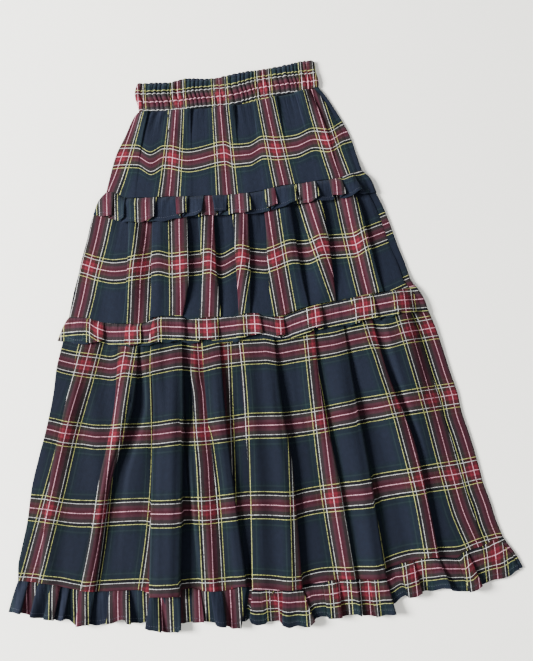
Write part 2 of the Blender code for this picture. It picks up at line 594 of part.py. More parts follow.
def main():
    clear_scene()
    make_waistband()
    upper = Strip(CASING_SEAM, UPPER_SEAM, bulge=(-0.0070, 0.0090))
    make_tier("upper_tier", upper, UPPER_FOLDS, UPPER_ROWS, FLOOR_LEVEL, UPPER_FRONT_LEVEL,
              UPPER_SIDE)
    middle = Strip(UPPER_SEAM, MIDDLE_SEAM, bulge=(-0.0085, 0.0050), gap=TUCK)
    make_tier("middle_tier", middle, MIDDLE_FOLDS, MIDDLE_ROWS, MIDDLE_BACK_LEVEL,
              raised(MIDDLE_BACK_LEVEL, LAYER), MIDDLE_SIDE)
    lower = Strip(MIDDLE_SEAM, HEM_SEAM, bulge=(-0.0040, 0.0030), gap=TUCK,
                  fade=lambda depth: depth**STEP_FADE)
    make_tier("lower_tier", lower, LOWER_FOLDS, LOWER_ROWS, LOWER_BACK_LEVEL,
              raised(LOWER_BACK_LEVEL, LAYER), LOWER_SIDE)
    frill = Strip(UPPER_SEAM, UPPER_FRILL_EDGE, overhang=FRILL_OVERHANG)
    make_frill("upper_ruffle", frill, UPPER_FRILL_FOLDS, MIDDLE_SIDE, NAVY)
    frill = Strip(MIDDLE_SEAM, MIDDLE_FRILL_EDGE, overhang=FRILL_OVERHANG)
    make_frill("middle_ruffle", frill, MIDDLE_FRILL_FOLDS, MIDDLE_SIDE, RED_BAND)
    make_hem_frill()
    centre_on_origin()


main()
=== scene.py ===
import math
from collections import namedtuple
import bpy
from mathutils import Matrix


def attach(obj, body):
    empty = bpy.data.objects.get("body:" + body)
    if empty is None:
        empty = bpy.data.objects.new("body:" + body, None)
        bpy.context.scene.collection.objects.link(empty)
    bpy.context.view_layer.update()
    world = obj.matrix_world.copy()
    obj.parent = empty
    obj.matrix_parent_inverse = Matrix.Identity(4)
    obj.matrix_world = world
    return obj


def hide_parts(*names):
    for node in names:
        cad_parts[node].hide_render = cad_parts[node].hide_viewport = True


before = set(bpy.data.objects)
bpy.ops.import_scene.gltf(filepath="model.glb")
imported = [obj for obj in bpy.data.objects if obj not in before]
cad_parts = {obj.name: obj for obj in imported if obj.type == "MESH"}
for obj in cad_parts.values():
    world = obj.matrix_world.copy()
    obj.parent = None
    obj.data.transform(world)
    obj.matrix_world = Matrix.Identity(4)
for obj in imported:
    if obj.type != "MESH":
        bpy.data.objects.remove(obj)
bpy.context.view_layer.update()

from types import SimpleNamespace

import bpy
import numpy as np

# Tiered ruffle skirt in brushed tartan flannel, laid flat with its front up. Its tables are in
# millimetres, x to the right and y from the hem to the waist, and all other lengths in metres.
# skirtPlace moves the tables' origin into the frame.
skirtPlace = (-0.01075, -0.44255)

cloth = {
    "thickness": 0.0007,
    "gap": 0.00025,  # between pieces that are sewn edge to edge
    "foldFade": 0.4,  # how a fold that hides little cloth loses its height
    "slopeShare": 0.4,  # share of an open fold's slope that is straight
    "leastHidden": 0.00002,  # by a fold that has run out
    "foldMargin": 0.0010,  # plain cloth kept beside a fold
    "fullFold": 0.002,  # height of a fold whose edge lifts in full
    "plainSpan": 0.0050,  # between two points of a back's plain cloth
    "fallOff": 0.030,  # over which the cloth beside a fold comes down from it
    "foldCrest": 0.004,  # of a fold's width, which doesn't hold up the cloth beside it
    "heldShare": 0.6,  # of the rest, over which that cloth stays level
    "sagFrom": 0.020,  # width of the cloth between two folds that begins to sag
    "sagOver": 0.040,  # further width over which it comes to sag in full
    "turnGap": 0.0005,  # between the turn round a side and the first plain cloth
    "backRoll": 1.5,  # how far a back's folds lean out beyond their layers
    "backShift": 0.003,  # of a back's folds against the front's
    "backShort": 0.012,  # the hidden cloth under which every other fold is left out of a back
    "backLeast": 0.0012,  # hidden in a back's fold
    "pucker": 0.0016,  # how far seams and edges waver
    "seamDip": (0.0008, 0.0025),  # depth and reach of the dip at a seam
    "sideDip": (0.0009, 0.0020),
    "undulation": 0.0020,
    "streaks": 0.0022,
    "backRelief": (0.0010, 0.0007),  # of the strip beside a side seam, and of the underside
}
tartan = {
    "repeatAcross": 0.0940,
    "repeatDown": 0.1175,
    "stretchDown": 1.13,  # the stripes' spacing down the cloth against that across it
    "jitter": 0.00025,
}

arcShares = np.array([0.0, 0.15, 0.3, 0.43, 0.57, 0.7, 0.85, 1.0])
middleShares = np.array([0.25, 0.5, 0.75])
waveCells = 64  # along each side of a grid of random heights
waveShift = 300.0  # keeps every place on such a grid above zero
turnPoints = 7  # round a side
stripPoints = 5  # of the strip beyond a side's turn
overlapPoints = 7
underlapPoints = 5
topShare = 4 / 18  # of a fold's cloth, which keeps the scale of the layer on top
foldDepths = (0.0, 0.3, 0.6, 1.0)
Fold = namedtuple("Fold", "x hidden side tall", defaults=(1.0,))
Row = namedtuple("Row", "x z s owner weight lift")


def mm(value):
    # millimetres to metres, all through a table
    if isinstance(value, (int, float)):
        return round(value / 1000, 7)
    return tuple(mm(part) for part in value)


class SmoothLine:
    # passes through its points and never swings past them
    def __init__(self, points):
        self.x, self.y = (np.array(values, float) for values in zip(*points))
        steep = np.diff(self.y) / np.diff(self.x)
        self.slope = np.concatenate([steep[:1], np.zeros(len(steep) - 1), steep[-1:]])
        before, after = steep[:-1], steep[1:]
        bends = before * after > 0
        self.slope[1:-1][bends] = (2 * before * after)[bends] / (before + after)[bends]

    def at(self, x):
        x = np.clip(x, self.x[0], self.x[-1])
        i = np.clip(np.searchsorted(self.x, x, side="right") - 1, 0, len(self.x) - 2)
        width = self.x[i + 1] - self.x[i]
        u = (x - self.x[i]) / width
        value = self.y[i] * (1 + 2 * u) * (1 - u) ** 2 + self.y[i + 1] * u * u * (3 - 2 * u)
        value += self.slope[i] * width * u * (1 - u) ** 2
        return value - self.slope[i + 1] * width * u * u * (1 - u)


def smooth(u):
    u = np.clip(u, 0.0, 1.0)
    return u * u * (3 - 2 * u)


class Waves:
    # smooth random heights from 0 to 1 over a sheet, on a grid of the given spacing
    def __init__(self, seed, spacingX, spacingY):
        self.grid = np.random.default_rng(seed).random((waveCells, waveCells))
        self.spacing = spacingX, spacingY

    def at(self, x, y):
        u, v = (np.asarray(value) / step + waveShift for value, step in zip((x, y), self.spacing))
        i, j = np.floor(u).astype(int), np.floor(v).astype(int)
        a, b = smooth(u - i), smooth(v - j)

        def onRow(k):
            row = k % waveCells
            return (self.grid[row, i % waveCells] * (1 - a)
                    + self.grid[row, (i + 1) % waveCells] * a)
        return onRow(j) * (1 - b) + onRow(j + 1) * b


puckers = Waves(9, 0.0085, 1.0)  # along every seam and edge


class Ground:
    # between the line at a piece's top and the one at its foot. A line is one run of points
    # across, or several runs, each but the last with the fold after which the next run starts
    def __init__(self, top, foot, left, right, topGap=0.0, footGap=0.0):
        self.top, self.foot = self.runs(top), self.runs(foot)
        self.topGap, self.footGap = topGap, footGap
        self.sides = [self.sideLine(points, end) for points, end in ((left, 0), (right, -1))]

    def runs(self, line):
        if not isinstance(line, dict):
            return [SmoothLine(line)], []
        return [SmoothLine(run) for run in line["runs"]], line["after"]

    def sideLine(self, points, end):
        (top, _), (foot, _) = self.top, self.foot
        yTop, yFoot = top[end].y[end], foot[end].y[end]
        depths = [((yTop - y) / (yTop - yFoot), x) for x, y in points]
        inner = [pair for pair in depths if 0.02 < pair[0] < 0.98]
        return SmoothLine([(0.0, top[end].x[end]), *inner, (1.0, foot[end].x[end])])

    def side(self, end, depth):
        return float(self.sides[end].at(depth))

    def lineY(self, line, x, owner, weight):
        runs, after = line
        if not after:
            return runs[0].at(x)
        run = np.searchsorted(after, owner, side="left")
        nextRun = np.searchsorted(after, owner + 1, side="left")
        here, there = np.zeros(len(x)), np.zeros(len(x))
        for k, smoothRun in enumerate(runs):
            value = smoothRun.at(x)
            here, there = np.where(run == k, value, here), np.where(nextRun == k, value, there)
        return here * (1 - weight) + there * weight

    def y(self, x, depth, owner, weight):
        left, right = self.side(0, depth), self.side(-1, depth)
        share = np.clip((x - left) / (right - left), 0.0, 1.0)
        found = []
        for line, gap in ((self.top, -self.topGap), (self.foot, self.footGap)):
            start, end = line[0][0].x[0], line[0][-1].x[-1]
            across = start + share * (end - start)
            pucker = cloth["pucker"] * (puckers.at(across, 0.0) - 0.5) * np.sin(math.pi * share)
            found.append(self.lineY(line, across, owner, weight) + gap + pucker)
        return found[0] + (found[1] - found[0]) * depth


def foldShape(hidden, height, roll):
    # one fold with the left layer on top: places from its start, and how far each moves left
    # as the layers overlap
    full = math.pi / 2 * height
    low = height * min(1.0, hidden / full) ** cloth["foldFade"]
    turn = min(math.pi, 2 * hidden / low)
    overlap = max(0.0, (hidden - full) / 2)
    sine, cosine = math.sin(turn / 2), math.cos(turn / 2)
    radius = low * (1 - cloth["slopeShare"] * cosine**2) / (4 * sine**2)
    slope = cloth["slopeShare"] * low / 2 * cosine / sine
    angle = turn * arcShares
    upperX, drop = radius * np.sin(angle), radius * (1 - np.cos(angle))
    stretch = 1 + (roll - 1) * max(0.0, 2 * turn / math.pi - 1)
    upperX = np.where(angle < math.pi / 2, radius - (radius - upperX) * stretch, upperX)
    width = 2 * radius * math.sin(turn) + slope * math.cos(turn)
    lowerX = width - radius * np.sin(angle[::-1])
    middleX = upperX[-1] + (lowerX[0] - upperX[-1]) * middleShares
    middleZ = low - drop[-1] + (drop[-1] - low + drop[-1]) * middleShares
    x = np.concatenate([upperX, middleX, lowerX]) - low / 4 - max(0.0, width) / 2
    z = np.concatenate([low - drop, middleZ, drop[::-1]])
    move = np.concatenate([np.zeros_like(arcShares), middleShares, np.ones_like(arcShares)])
    return x, z, move, low, overlap


def foldsAt(folds, depth, height, roll, start, end):
    # the folds at one depth, each with its overlap cut to the room it has
    found = []
    for fold in folds:
        edge, hidden = (float(SmoothLine(list(zip(foldDepths, values))).at(depth))
                        for values in (fold.x, fold.hidden))
        hidden = max(cloth["leastHidden"], hidden)
        x, z, move, low, overlap = foldShape(hidden, height * fold.tall, roll)
        found.append(SimpleNamespace(edge=edge, hidden=hidden, side=fold.side, x=x, z=z, move=move,
                                     low=low, overlap=overlap))
    room = []  # between each two folds, and beside the first and last
    reach = [(f.x.min(), f.x.max()) if f.side > 0 else (-f.x.max(), -f.x.min()) for f in found]
    for i in range(len(found) + 1):
        low = found[i - 1].edge + reach[i - 1][1] if i > 0 else start
        high = found[i].edge + reach[i][0] if i < len(found) else end
        room.append(high - low - 2.4 * cloth["foldMargin"])
        if room[-1] < 0:
            raise ValueError(f"folds too close at depth {depth:.2f}: {i} by {room[-1]:.4f}")
    for i, fold in enumerate(found):
        gap = i if fold.side > 0 else i + 1  # the gap that the hidden layers fill
        wanted = sum(found[k].overlap for k, side in ((gap - 1, -1), (gap, 1))
                     if 0 <= k < len(found) and found[k].side == side)
        share = min(1.0, room[gap] / wanted) if wanted > 0 else 1.0
        x = fold.x - fold.move * (fold.overlap * share)
        if fold.side > 0:
            fold.x = fold.edge + x
        else:
            fold.x, fold.z = fold.edge - x[::-1], fold.z[::-1]
    return found


def foldedRow(found, counts, start, end, shifts, style):
    # one row across: plain cloth, and at each fold the overlap, its bends and the underlap
    n = len(found)
    borders = [start]
    for fold in found:
        borders += [fold.x.min() - cloth["foldMargin"], fold.x.max() + cloth["foldMargin"]]
    borders.append(end)
    parts = {name: [] for name in Row._fields}

    def foldsUnder(k):
        # the folds that the cloth between folds k - 1 and k lies over, at its left and right
        left = found[k - 1] if k > 0 and found[k - 1].side < 0 else None
        right = found[k] if k < n and found[k].side > 0 else None
        return left, right

    def topZ(x, k):
        left, right = foldsUnder(k)
        a, b = left.low if left else 0.0, right.low if right else 0.0
        near = left.x[-1] if left else borders[2 * k]
        far = right.x[0] if right else borders[2 * k + 1]
        d, e = np.maximum(0.0, x - near), np.maximum(0.0, far - x)
        width = max(1e-4, far - near)
        z = np.zeros(len(x))
        if a and b:
            u = smooth(d / width)
            z = a * (1 - u) + b * u
            z -= style["sag"] * min(a, b) * np.sin(math.pi * np.clip(d / width, 0, 1)) ** 2 \
                * smooth((width - cloth["sagFrom"]) / cloth["sagOver"])
        elif a or b:
            under, level, away = (left, a, d) if a else (right, b, e)
            flat = max(0.0, under.x.max() - under.x.min() - cloth["foldCrest"])
            reach, held = min(flat + cloth["fallOff"], width), flat * cloth["heldShare"]
            z = level * (1 - smooth((away - held) / max(1e-4, reach - held)))
        for level, away in ((a, d), (b, e)):
            if level:
                u = away / min(style["crest"], width / 3)
                z = z + style["plump"] * level * u * u * np.exp(2 - 2 * u)
        return z

    def lift(x, k):
        # how much the free edge curls up, beside a fold on the layer on top
        left, right = foldsUnder(k)
        value = np.zeros(len(x))
        for fold, end, way in ((left, -1, 1), (right, 0, -1)):
            if fold:
                away = np.maximum(0, way * (x - fold.x[end]))
                value += np.exp(-away / style["curl"]) * min(1, fold.low / cloth["fullFold"])
        return np.minimum(1.0, value)

    def add(x, z, s, owner, weight, rise):
        for name, values in zip(Row._fields, (x, z, s, owner, weight, rise)):
            parts[name].append(np.broadcast_to(np.asarray(values, float), np.shape(x)))

    def addPlain(x, k):
        add(x, topZ(x, k), x + shifts[k], k, 0.0, lift(x, k))

    for k in range(n + 1):
        addPlain(np.linspace(borders[2 * k], borders[2 * k + 1], counts[k] + 1), k)
        if k == n:
            break
        fold, leftOnTop = found[k], found[k].side > 0
        # distance along the fold from its first to its last point
        run = np.concatenate([[0.0], np.cumsum(np.hypot(np.diff(fold.x), np.diff(fold.z)))])
        u = run / run[-1]
        near, far = fold.x[0] + shifts[k] + run, fold.x[-1] + shifts[k + 1] - (run[-1] - run)
        points = overlapPoints, underlapPoints
        if leftOnTop:
            fromTop, fromFoot, top, foot = u, 1 - u, near, far
            weight = smooth((u - 0.3) / 0.7)
        else:
            points, fromTop, fromFoot, top, foot = points[::-1], 1 - u, u, far, near
            weight = smooth(u / 0.7)
        addPlain(np.linspace(borders[2 * k + 1], fold.x[0], points[0] + 1)[1:-1], k)
        toFoot = smooth((fromTop - topShare) / (1 - topShare))
        rise = min(1, fold.low / cloth["fullFold"]) * np.minimum(1.0, fromFoot * 1.6)
        add(fold.x, fold.z, top * (1 - toFoot) + foot * toFoot, k, weight, rise)
        addPlain(np.linspace(fold.x[-1], borders[2 * k + 2], points[1] + 1)[1:-1], k + 1)
    return Row(*[np.concatenate(parts[name]) for name in Row._fields])


def plainCounts(table, span):
    # how many points each stretch between folds needs where it is widest
    widest = []
    for i in range(len(table[0][0]) + 1):
        widths = []
        for found, start, end in table:
            low = found[i - 1].x.max() if i > 0 else start
            high = found[i].x.min() if i < len(found) else end
            widths.append(high - low)
        widest.append(max(1, math.ceil(max(widths) / span)))
    return widest


def sideTurn(x, low, high, direction, points=turnPoints):
    # round a side from the layer below to the one above, direction -1 at the left
    radius = (high - low) / 2
    angle = np.radians(np.linspace(-90, 90, points))
    return x - direction * radius * (1 - np.cos(angle)), (low + high) / 2 + radius * np.sin(angle)


def joinStrip(stripX, stripZ, x, z, s):
    # a strip round the side, joined on ahead of a row, with the pattern carried on along it
    joinedX, joinedZ = np.concatenate([stripX, x]), np.concatenate([stripZ, z])
    n = len(stripX) + 1
    step = np.hypot(np.diff(joinedX[:n]), np.diff(joinedZ[:n]))
    return joinedX, joinedZ, np.concatenate([s[0] - np.cumsum(step[::-1])[::-1], s])


def frontGrid(ground, spec):
    # a front piece: from its side seam under the left side, round it and over the front
    table, turns, rows = [], [], []
    wraps = "leftEnd" not in spec
    for depth in spec["rows"]:
        low, high = spec["backLevel"](depth), spec["frontLevel"](depth)
        left, right = ground.side(0, depth), ground.side(-1, depth) - spec["inset"]
        turnX, turnZ = sideTurn(left, low, high, -1)
        start = turnX[-1] + cloth["turnGap"] if wraps else spec["leftEnd"](depth)
        end = spec["rightEnd"](depth) if "rightEnd" in spec else right
        found = foldsAt(spec["folds"], depth, spec["height"](depth), spec["roll"], start, end)
        turns.append((left, low, high, turnX, turnZ))
        table.append((found, start, end))
    counts = plainCounts(table, spec["span"])
    for depth, entry, turn in zip(spec["rows"], table, turns):
        (found, start, end), (left, low, high, turnX, turnZ) = entry, turn
        row = foldedRow(found, counts, start, end, spec["shifts"](depth, found), spec["style"])
        x, z, s, owner, weight, rise = row.x, row.z + high, row.s, row.owner, row.weight, row.lift
        front = np.ones(len(x))
        if wraps:
            under = np.linspace(left + spec["inset"], turnX[0], stripPoints + 1)[:-1]
            stripX, stripZ = np.append(under, turnX), np.append(np.full(stripPoints, low), turnZ)
            x, z, s = joinStrip(stripX, stripZ, x, z, s)
            zeros = np.zeros(len(stripX))
            owner, weight, rise = (np.append(zeros, old) for old in (owner, weight, rise))
            front = np.concatenate([zeros[:stripPoints], np.linspace(0, 1, turnPoints), front])
        rows.append((x, ground.y(x, depth, owner, weight), z, s, rise, front))
    return [np.array([row[i] for row in rows]) for i in range(6)]


def backGrid(ground, spec):
    # a back piece: from its seam on the front's right, round that side and over the underside.
    # It is folded as a front is, seen from below: u runs to the left
    table, rows = [], []
    depths = spec["rows"][::2] + ([] if len(spec["rows"]) % 2 else spec["rows"][-1:])
    for depth in depths:
        low, high = spec["backLevel"](depth), spec["frontLevel"](depth)
        right, left = ground.side(-1, depth), ground.side(0, depth)
        turnX, turnZ = sideTurn(right, low, high, 1)
        start, end = -turnX[0] + cloth["turnGap"], -(left + spec["inset"] + cloth["gap"])
        found = foldsAt(spec["backFolds"], depth, spec["backHeight"], cloth["backRoll"], start, end)
        table.append((found, start, end, right, low, high, turnX, turnZ))
    counts = plainCounts([entry[:3] for entry in table], cloth["plainSpan"])
    for depth, (found, start, end, right, low, high, turnX, turnZ) in zip(depths, table):
        shifts = [0.0]
        for fold in found:
            shifts.append(shifts[-1] + fold.hidden)
        row = foldedRow(found, counts, start, end, shifts, dict(spec["style"], plump=0.0, sag=0.0))
        # the visible layer rests on the surface, so what it hides stands above it
        rest = np.zeros(len(row.x))
        for fold in found:
            away = (row.x - fold.edge) * fold.side
            width = fold.x.max() - fold.x.min()
            before = 1 - smooth((-away - width * 0.6) / max(0.01, width * 0.4 + 0.02))
            after = 1 - smooth(away / 0.012)
            rest = np.maximum(rest, fold.low * np.where(away < 0, before, after))
        over = np.linspace(right - spec["inset"] + cloth["gap"], turnX[-1], stripPoints + 1)[:-1]
        stripX = np.append(over, turnX[::-1])
        stripZ = np.append(np.full(stripPoints, high), turnZ[::-1])
        x, z, s = joinStrip(stripX, stripZ, -row.x, low + np.maximum(0.0, rest - row.z), row.s)
        # the strip that shows on the front beside the side seam has a group at its own place
        group = spec.get("sideGroup", tartan["repeatAcross"] / 2)
        if right - group < x[0]:
            s = s + (-s[0] + group - (right - x[0]))
        else:
            s = s + np.interp(right - group, x[:stripPoints], -s[:stripPoints])
        zeros = np.zeros(len(x))
        front = np.concatenate([np.ones(stripPoints), np.linspace(1, 0, turnPoints),
                                np.zeros(len(row.x))])
        rows.append((x, ground.y(x, depth, zeros, zeros), z, s, zeros + depth, front))
    return [np.array([row[i] for row in rows]) for i in range(6)]


def gridNormals(x, y, z):
    place = np.stack([x, y, z], axis=-1)
    across, down = np.gradient(place, axis=1), np.gradient(place, axis=0)
    normal = np.cross(down, across)
    length = np.linalg.norm(normal, axis=-1, keepdims=True)
    return normal / np.maximum(length, 1e-12)


def shellMesh(name, x, y, z, s, v, gathered, tone=1.0, thickness=None, outward=None):
    # the closed wall of cloth about a grid of points. Its UV maps hold the pattern's place, and
    # how strongly the cloth is gathered there beside its tone: painted shade that darkens the
    # piece's whole cloth
    rows, columns = x.shape
    half = (thickness or cloth["thickness"]) / 2
    normal = gridNormals(x, y, z)
    place = np.stack([x + skirtPlace[0], y + skirtPlace[1], z], axis=-1)
    swell = half if outward is None else half + outward[..., None]
    outer, inner = place + normal * swell, place - normal * half
    vertices = np.concatenate([outer.reshape(-1, 3), inner.reshape(-1, 3)])
    index = np.arange(rows * columns).reshape(rows, columns)
    a, b, c, d = index[:-1, :-1], index[1:, :-1], index[1:, 1:], index[:-1, 1:]
    total = rows * columns
    outerFaces = np.stack([a, b, c, d], axis=-1).reshape(-1, 4)
    innerFaces = np.stack([a, d, c, b], axis=-1).reshape(-1, 4) + total
    rims = []
    for edge, turned in ((index[0], 0), (index[-1], 1), (index[:, 0], 1), (index[:, -1], 0)):
        corners = [edge[:-1], edge[1:], edge[1:] + total, edge[:-1] + total]
        order = (0, 3, 2, 1) if turned else (0, 1, 2, 3)
        rims.append(np.stack([corners[k] for k in order], axis=-1))
    faces = np.concatenate([outerFaces, innerFaces, *rims])
    name += "_cloth"
    mesh = bpy.data.meshes.new(name)
    mesh.vertices.add(len(vertices))
    mesh.vertices.foreach_set("co", vertices.ravel())
    mesh.loops.add(faces.size)
    mesh.loops.foreach_set("vertex_index", faces.ravel())
    mesh.polygons.add(len(faces))
    mesh.polygons.foreach_set("loop_start", np.arange(0, faces.size, 4))
    mesh.polygons.foreach_set("loop_total", np.full(len(faces), 4))
    mesh.update(calc_edges=True)
    mesh.validate()
    maps = {"clothPlace": (s, v), "gathersAndTone": (gathered, np.full_like(s, tone))}
    for title, pair in maps.items():
        values = np.stack([part.ravel() for part in pair], axis=-1)
        values = np.concatenate([values, values])
        mesh.uv_layers.new(name=title).data.foreach_set("uv", values[faces.ravel()].ravel())
    mesh.shade_smooth()
    mesh.set_sharp_from_angle(angle=math.radians(60))
    mesh.materials.append(flannelMaterial)
    piece = bpy.data.objects.new(name, mesh)
    bpy.context.collection.objects.link(piece)
    print(f"{name}: {len(faces) * 2} triangles, top at {vertices[:, 2].max() * 1000:.1f} mm, "
          f"lowest {vertices[:, 2].min() * 1000:.2f} mm")
    return piece


def finishPiece(piece, node):
    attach(piece, "root")
    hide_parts(node)


class Value:
    # wraps a socket, so that maths on it reads as an expression
    def __init__(self, nodes, socket):
        self.nodes, self.socket = nodes, socket

    def math(self, operation, *others, clamp=False):
        return self.nodes.add("ShaderNodeMath", {"operation": operation, "use_clamp": clamp},
                              dict(enumerate([self, *others])))

    def output(self, place):
        return Value(self.nodes, self.socket.node.outputs[place])

    def __rsub__(self, other):
        return self.nodes.add("ShaderNodeMath", {"operation": "SUBTRACT"}, {0: other, 1: self})

    def __add__(self, other): return self.math("ADD", other)
    def __sub__(self, other): return self.math("SUBTRACT", other)
    def __mul__(self, other): return self.math("MULTIPLY", other)
    def __truediv__(self, other): return self.math("DIVIDE", other)
    __radd__, __rmul__ = __add__, __mul__


class Nodes:
    # a tree of nodes
    def __init__(self, tree):
        self.tree = tree
        tree.nodes.clear()

    def add(self, kind, settings=(), inputs=(), output=0):
        node = self.tree.nodes.new(kind)
        for name, value in dict(settings).items():
            if name == "stops":
                ramp = node.color_ramp
                ramp.elements.remove(ramp.elements[0])
                for k, (place, colour) in enumerate(value):
                    stop = ramp.elements[0] if k == 0 else ramp.elements.new(place)
                    stop.position, stop.color = place, (*colour, 1.0)
            else:
                setattr(node, name, value)
        for name, value in dict(inputs).items():
            if isinstance(value, Value):
                self.tree.links.new(value.socket, node.inputs[name])
            else:
                node.inputs[name].default_value = value
        return Value(self, node.outputs[output]) if node.outputs else None

    def mix(self, factor, a, b):
        return self.add("ShaderNodeMix", {"data_type": "RGBA", "clamp_factor": True},
                        {0: factor, 6: a, 7: (*b, 1)}, output=2)

    def vector(self, operation, a, b):
        return self.add("ShaderNodeVectorMath", {"operation": operation},
                        {0: a, "Scale" if operation == "SCALE" else 1: b})

    def noise(self, place, scale, detail=2.0, roughness=0.6, dimensions="2D", output=0):
        return self.add("ShaderNodeTexNoise", {"noise_dimensions": dimensions},
                        {"Vector": place, "Scale": scale, "Detail": detail, "Roughness": roughness},
                        output)

    def surface(self, inputs):
        shader = self.add("ShaderNodeBsdfPrincipled", {}, inputs)
        self.add("ShaderNodeOutputMaterial", {}, {0: shader})


def newMaterial(name):
    material = bpy.data.materials.new(name)
    material.use_nodes = True
    return material, Nodes(material.node_tree)


def linear(red, green, blue):
    # display colour 0-255 to linear
    return tuple(((c / 255 + 0.055) / 1.055) ** 2.4 if c > 10 else c / 255 / 12.92
                 for c in (red, green, blue))


flannel = {
    "field": linear(37, 45, 65),
    "teal": linear(32, 46, 60),
    "green": linear(45, 61, 69),
    "gap": linear(26, 28, 37),  # between a white line and the yellow one beside it
    "brown": linear(66, 54, 57),
    "maroon": linear(96, 53, 66),
    "maroonDark": linear(94, 38, 54),
    "crossBrown": linear(72, 50, 43),  # where two brown bands cross
    "crossMaroon": linear(122, 47, 58),  # red over brown
    "crossRed": linear(174, 55, 74),  # red over red
    "pinkLine": linear(190, 142, 154),
    "whiteLine": linear(192, 193, 190),
    "yellowLine": linear(178, 180, 106),
    # places from the middle of a group in millimetres: where each broad stripe starts and ends,
    # the middle of each line, and a band's start, end and soft edge where it crosses another
    "stripes": (("maroonDark", 0, 3.8), ("maroon", 4.7, 6.8), ("brown", 8, 12.5), ("gap", 13, 16.8),
                ("teal", 17.8, 23.6), ("green", 24.2, 25.2), ("teal", 26), ("field", 32)),
    "lines": (("pinkLine", 0), ("whiteLine", 12.6), ("yellowLine", 17.25)),
    "bands": {"red": (-3, 6.8, 2.2), "brown": (6.8, 12.5, 1.4), "dark": (1.2, 4, 0.6)},
    "lineHalf": 0.00033,
    "lineEdge": 0.0003,
    "depth": 0.30,  # of the dyes of the broad stripes
    "deepen": 0.22,  # of the dark middle of a band where another crosses it
    "roughness": 0.92,
    "sheen": 0.03,
    "nap": 0.30,  # how far the brushed face varies in colour
    "bump": 0.35,
    "wrinkle": 0.0016,  # height of the small creases in the gathers
    "rib": 0.0011,  # of the twill
    "ribDepth": 0.0004,
    # how fine each of the noises is
    "drift": 700.0,
    "broken": 420.0,
    "fine": 1400.0,
    "cloud": 160.0,
    "crease": 150.0,
}


def tartanFlannel():
    material, n = newMaterial("brushedTartanFlannel")
    place = n.add("ShaderNodeUVMap", {"uv_map": "clothPlace"})
    gathersAndTone = n.add("ShaderNodeUVMap", {"uv_map": "gathersAndTone"})
    gathered = n.add("ShaderNodeSeparateXYZ", {}, {0: gathersAndTone})
    # tone: painted shade, a factor that darkens each piece's whole cloth
    tone = gathered.output(1)
    wander = n.vector("SUBTRACT", n.noise(place, flannel["drift"], output=1), (0.5, 0.5, 0.5))
    moved = n.vector("ADD", place, n.vector("SCALE", wander, 2 * tartan["jitter"]))
    across = n.add("ShaderNodeSeparateXYZ", {}, {0: moved})
    down = across.output(1)
    # distance from the middle of the nearest group of stripes
    offWarp = across.math("PINGPONG", tartan["repeatAcross"] / 2)
    offWeft = down.math("PINGPONG", tartan["repeatDown"] / 2) / tartan["stretchDown"]

    def stripes(off, span=0.05):
        stops = [(mm(place) / span, flannel[dye])
                 for dye, *places in flannel["stripes"] for place in places]
        return n.add("ShaderNodeValToRGB", {"stops": stops}, {0: off / span})

    def band(off, low, high, edge):
        # 1 between low and high, with soft edges
        inside = (off - (low - edge / 2)).math("DIVIDE", edge, clamp=True)
        outside = ((high + edge / 2) - off).math("DIVIDE", edge, clamp=True)
        return inside * outside

    both = n.vector("ADD", stripes(offWarp), stripes(offWeft))
    both = n.vector("MAXIMUM", n.vector("SUBTRACT", both, flannel["field"]), flannel["gap"])
    (redWarp, redWeft), (brownWarp, brownWeft), (darkWarp, darkWeft) = (
        [band(off, *mm(flannel["bands"][title])) for off in (offWarp, offWeft)]
        for title in ("red", "brown", "dark"))
    colour = n.mix(brownWarp * brownWeft, both, flannel["crossBrown"])
    colour = n.mix(redWarp * brownWeft + brownWarp * redWeft, colour, flannel["crossMaroon"])
    colour = n.mix(redWarp * redWeft, colour, flannel["crossRed"])
    crossed = darkWarp * (redWeft + brownWeft) + darkWeft * (redWarp + brownWarp)
    colour = n.vector("SCALE", colour, 1 - crossed * flannel["deepen"])
    colour = n.vector("SCALE", colour, flannel["depth"])
    # a line of thin yarn: broken up by the nap, fainter in places
    cover = n.noise(place, flannel["broken"]) * 3.0 - 0.65
    cover = cover.math("MINIMUM", 1.0).math("MAXIMUM", 0.2)
    half, edge = flannel["lineHalf"], flannel["lineEdge"]
    for name, middle in flannel["lines"]:
        for off in (offWeft, offWarp):
            line = (band(off, mm(middle) - half, mm(middle) + half, edge) if middle
                    else ((half + edge) - off).math("DIVIDE", edge, clamp=True))
            colour = n.mix(line * cover, colour, flannel[name])
    # brushed nap: fine mottling, and soft blotches where the hairs lie over each other
    fine = n.noise(place, flannel["fine"], 3.0, 0.7)
    cloud = n.noise(place, flannel["cloud"], 3.0)
    # the colour is also scaled by the piece's tone, which is painted shade
    nap = (1 + (fine - 0.5) * (2 * flannel["nap"]) + (cloud - 0.5) * (1.6 * flannel["nap"])) * tone
    colour = n.vector("SCALE", colour, nap)
    # small creases that run down the cloth from where it is gathered
    narrow = n.vector("MULTIPLY", place, (1.0, 0.10, 1.0))
    crease = n.noise(narrow, flannel["crease"], 2.0, 0.55)
    wrinkled = n.add("ShaderNodeBump", {}, {"Strength": 1.0, "Distance": flannel["wrinkle"],
                                            "Height": crease * gathered})
    # twill: fine diagonal ribs under the nap
    rib = (across + down).math("MULTIPLY", 2 * math.pi / flannel["rib"]).math("SINE")
    bump = n.add("ShaderNodeBump", {}, {
        "Strength": flannel["bump"], "Distance": flannel["ribDepth"], "Normal": wrinkled,
        "Height": rib * 0.25 + fine * 0.8 + cloud * 0.5})
    n.surface({
        "Base Color": colour, "Roughness": flannel["roughness"], "Sheen Weight": flannel["sheen"],
        "Sheen Roughness": 0.5, "Sheen Tint": (0.75, 0.82, 1.0, 1.0), "Specular IOR Level": 0.1,
        "Normal": bump})
    return material


flannelMaterial = tartanFlannel()
print("flannel ready")

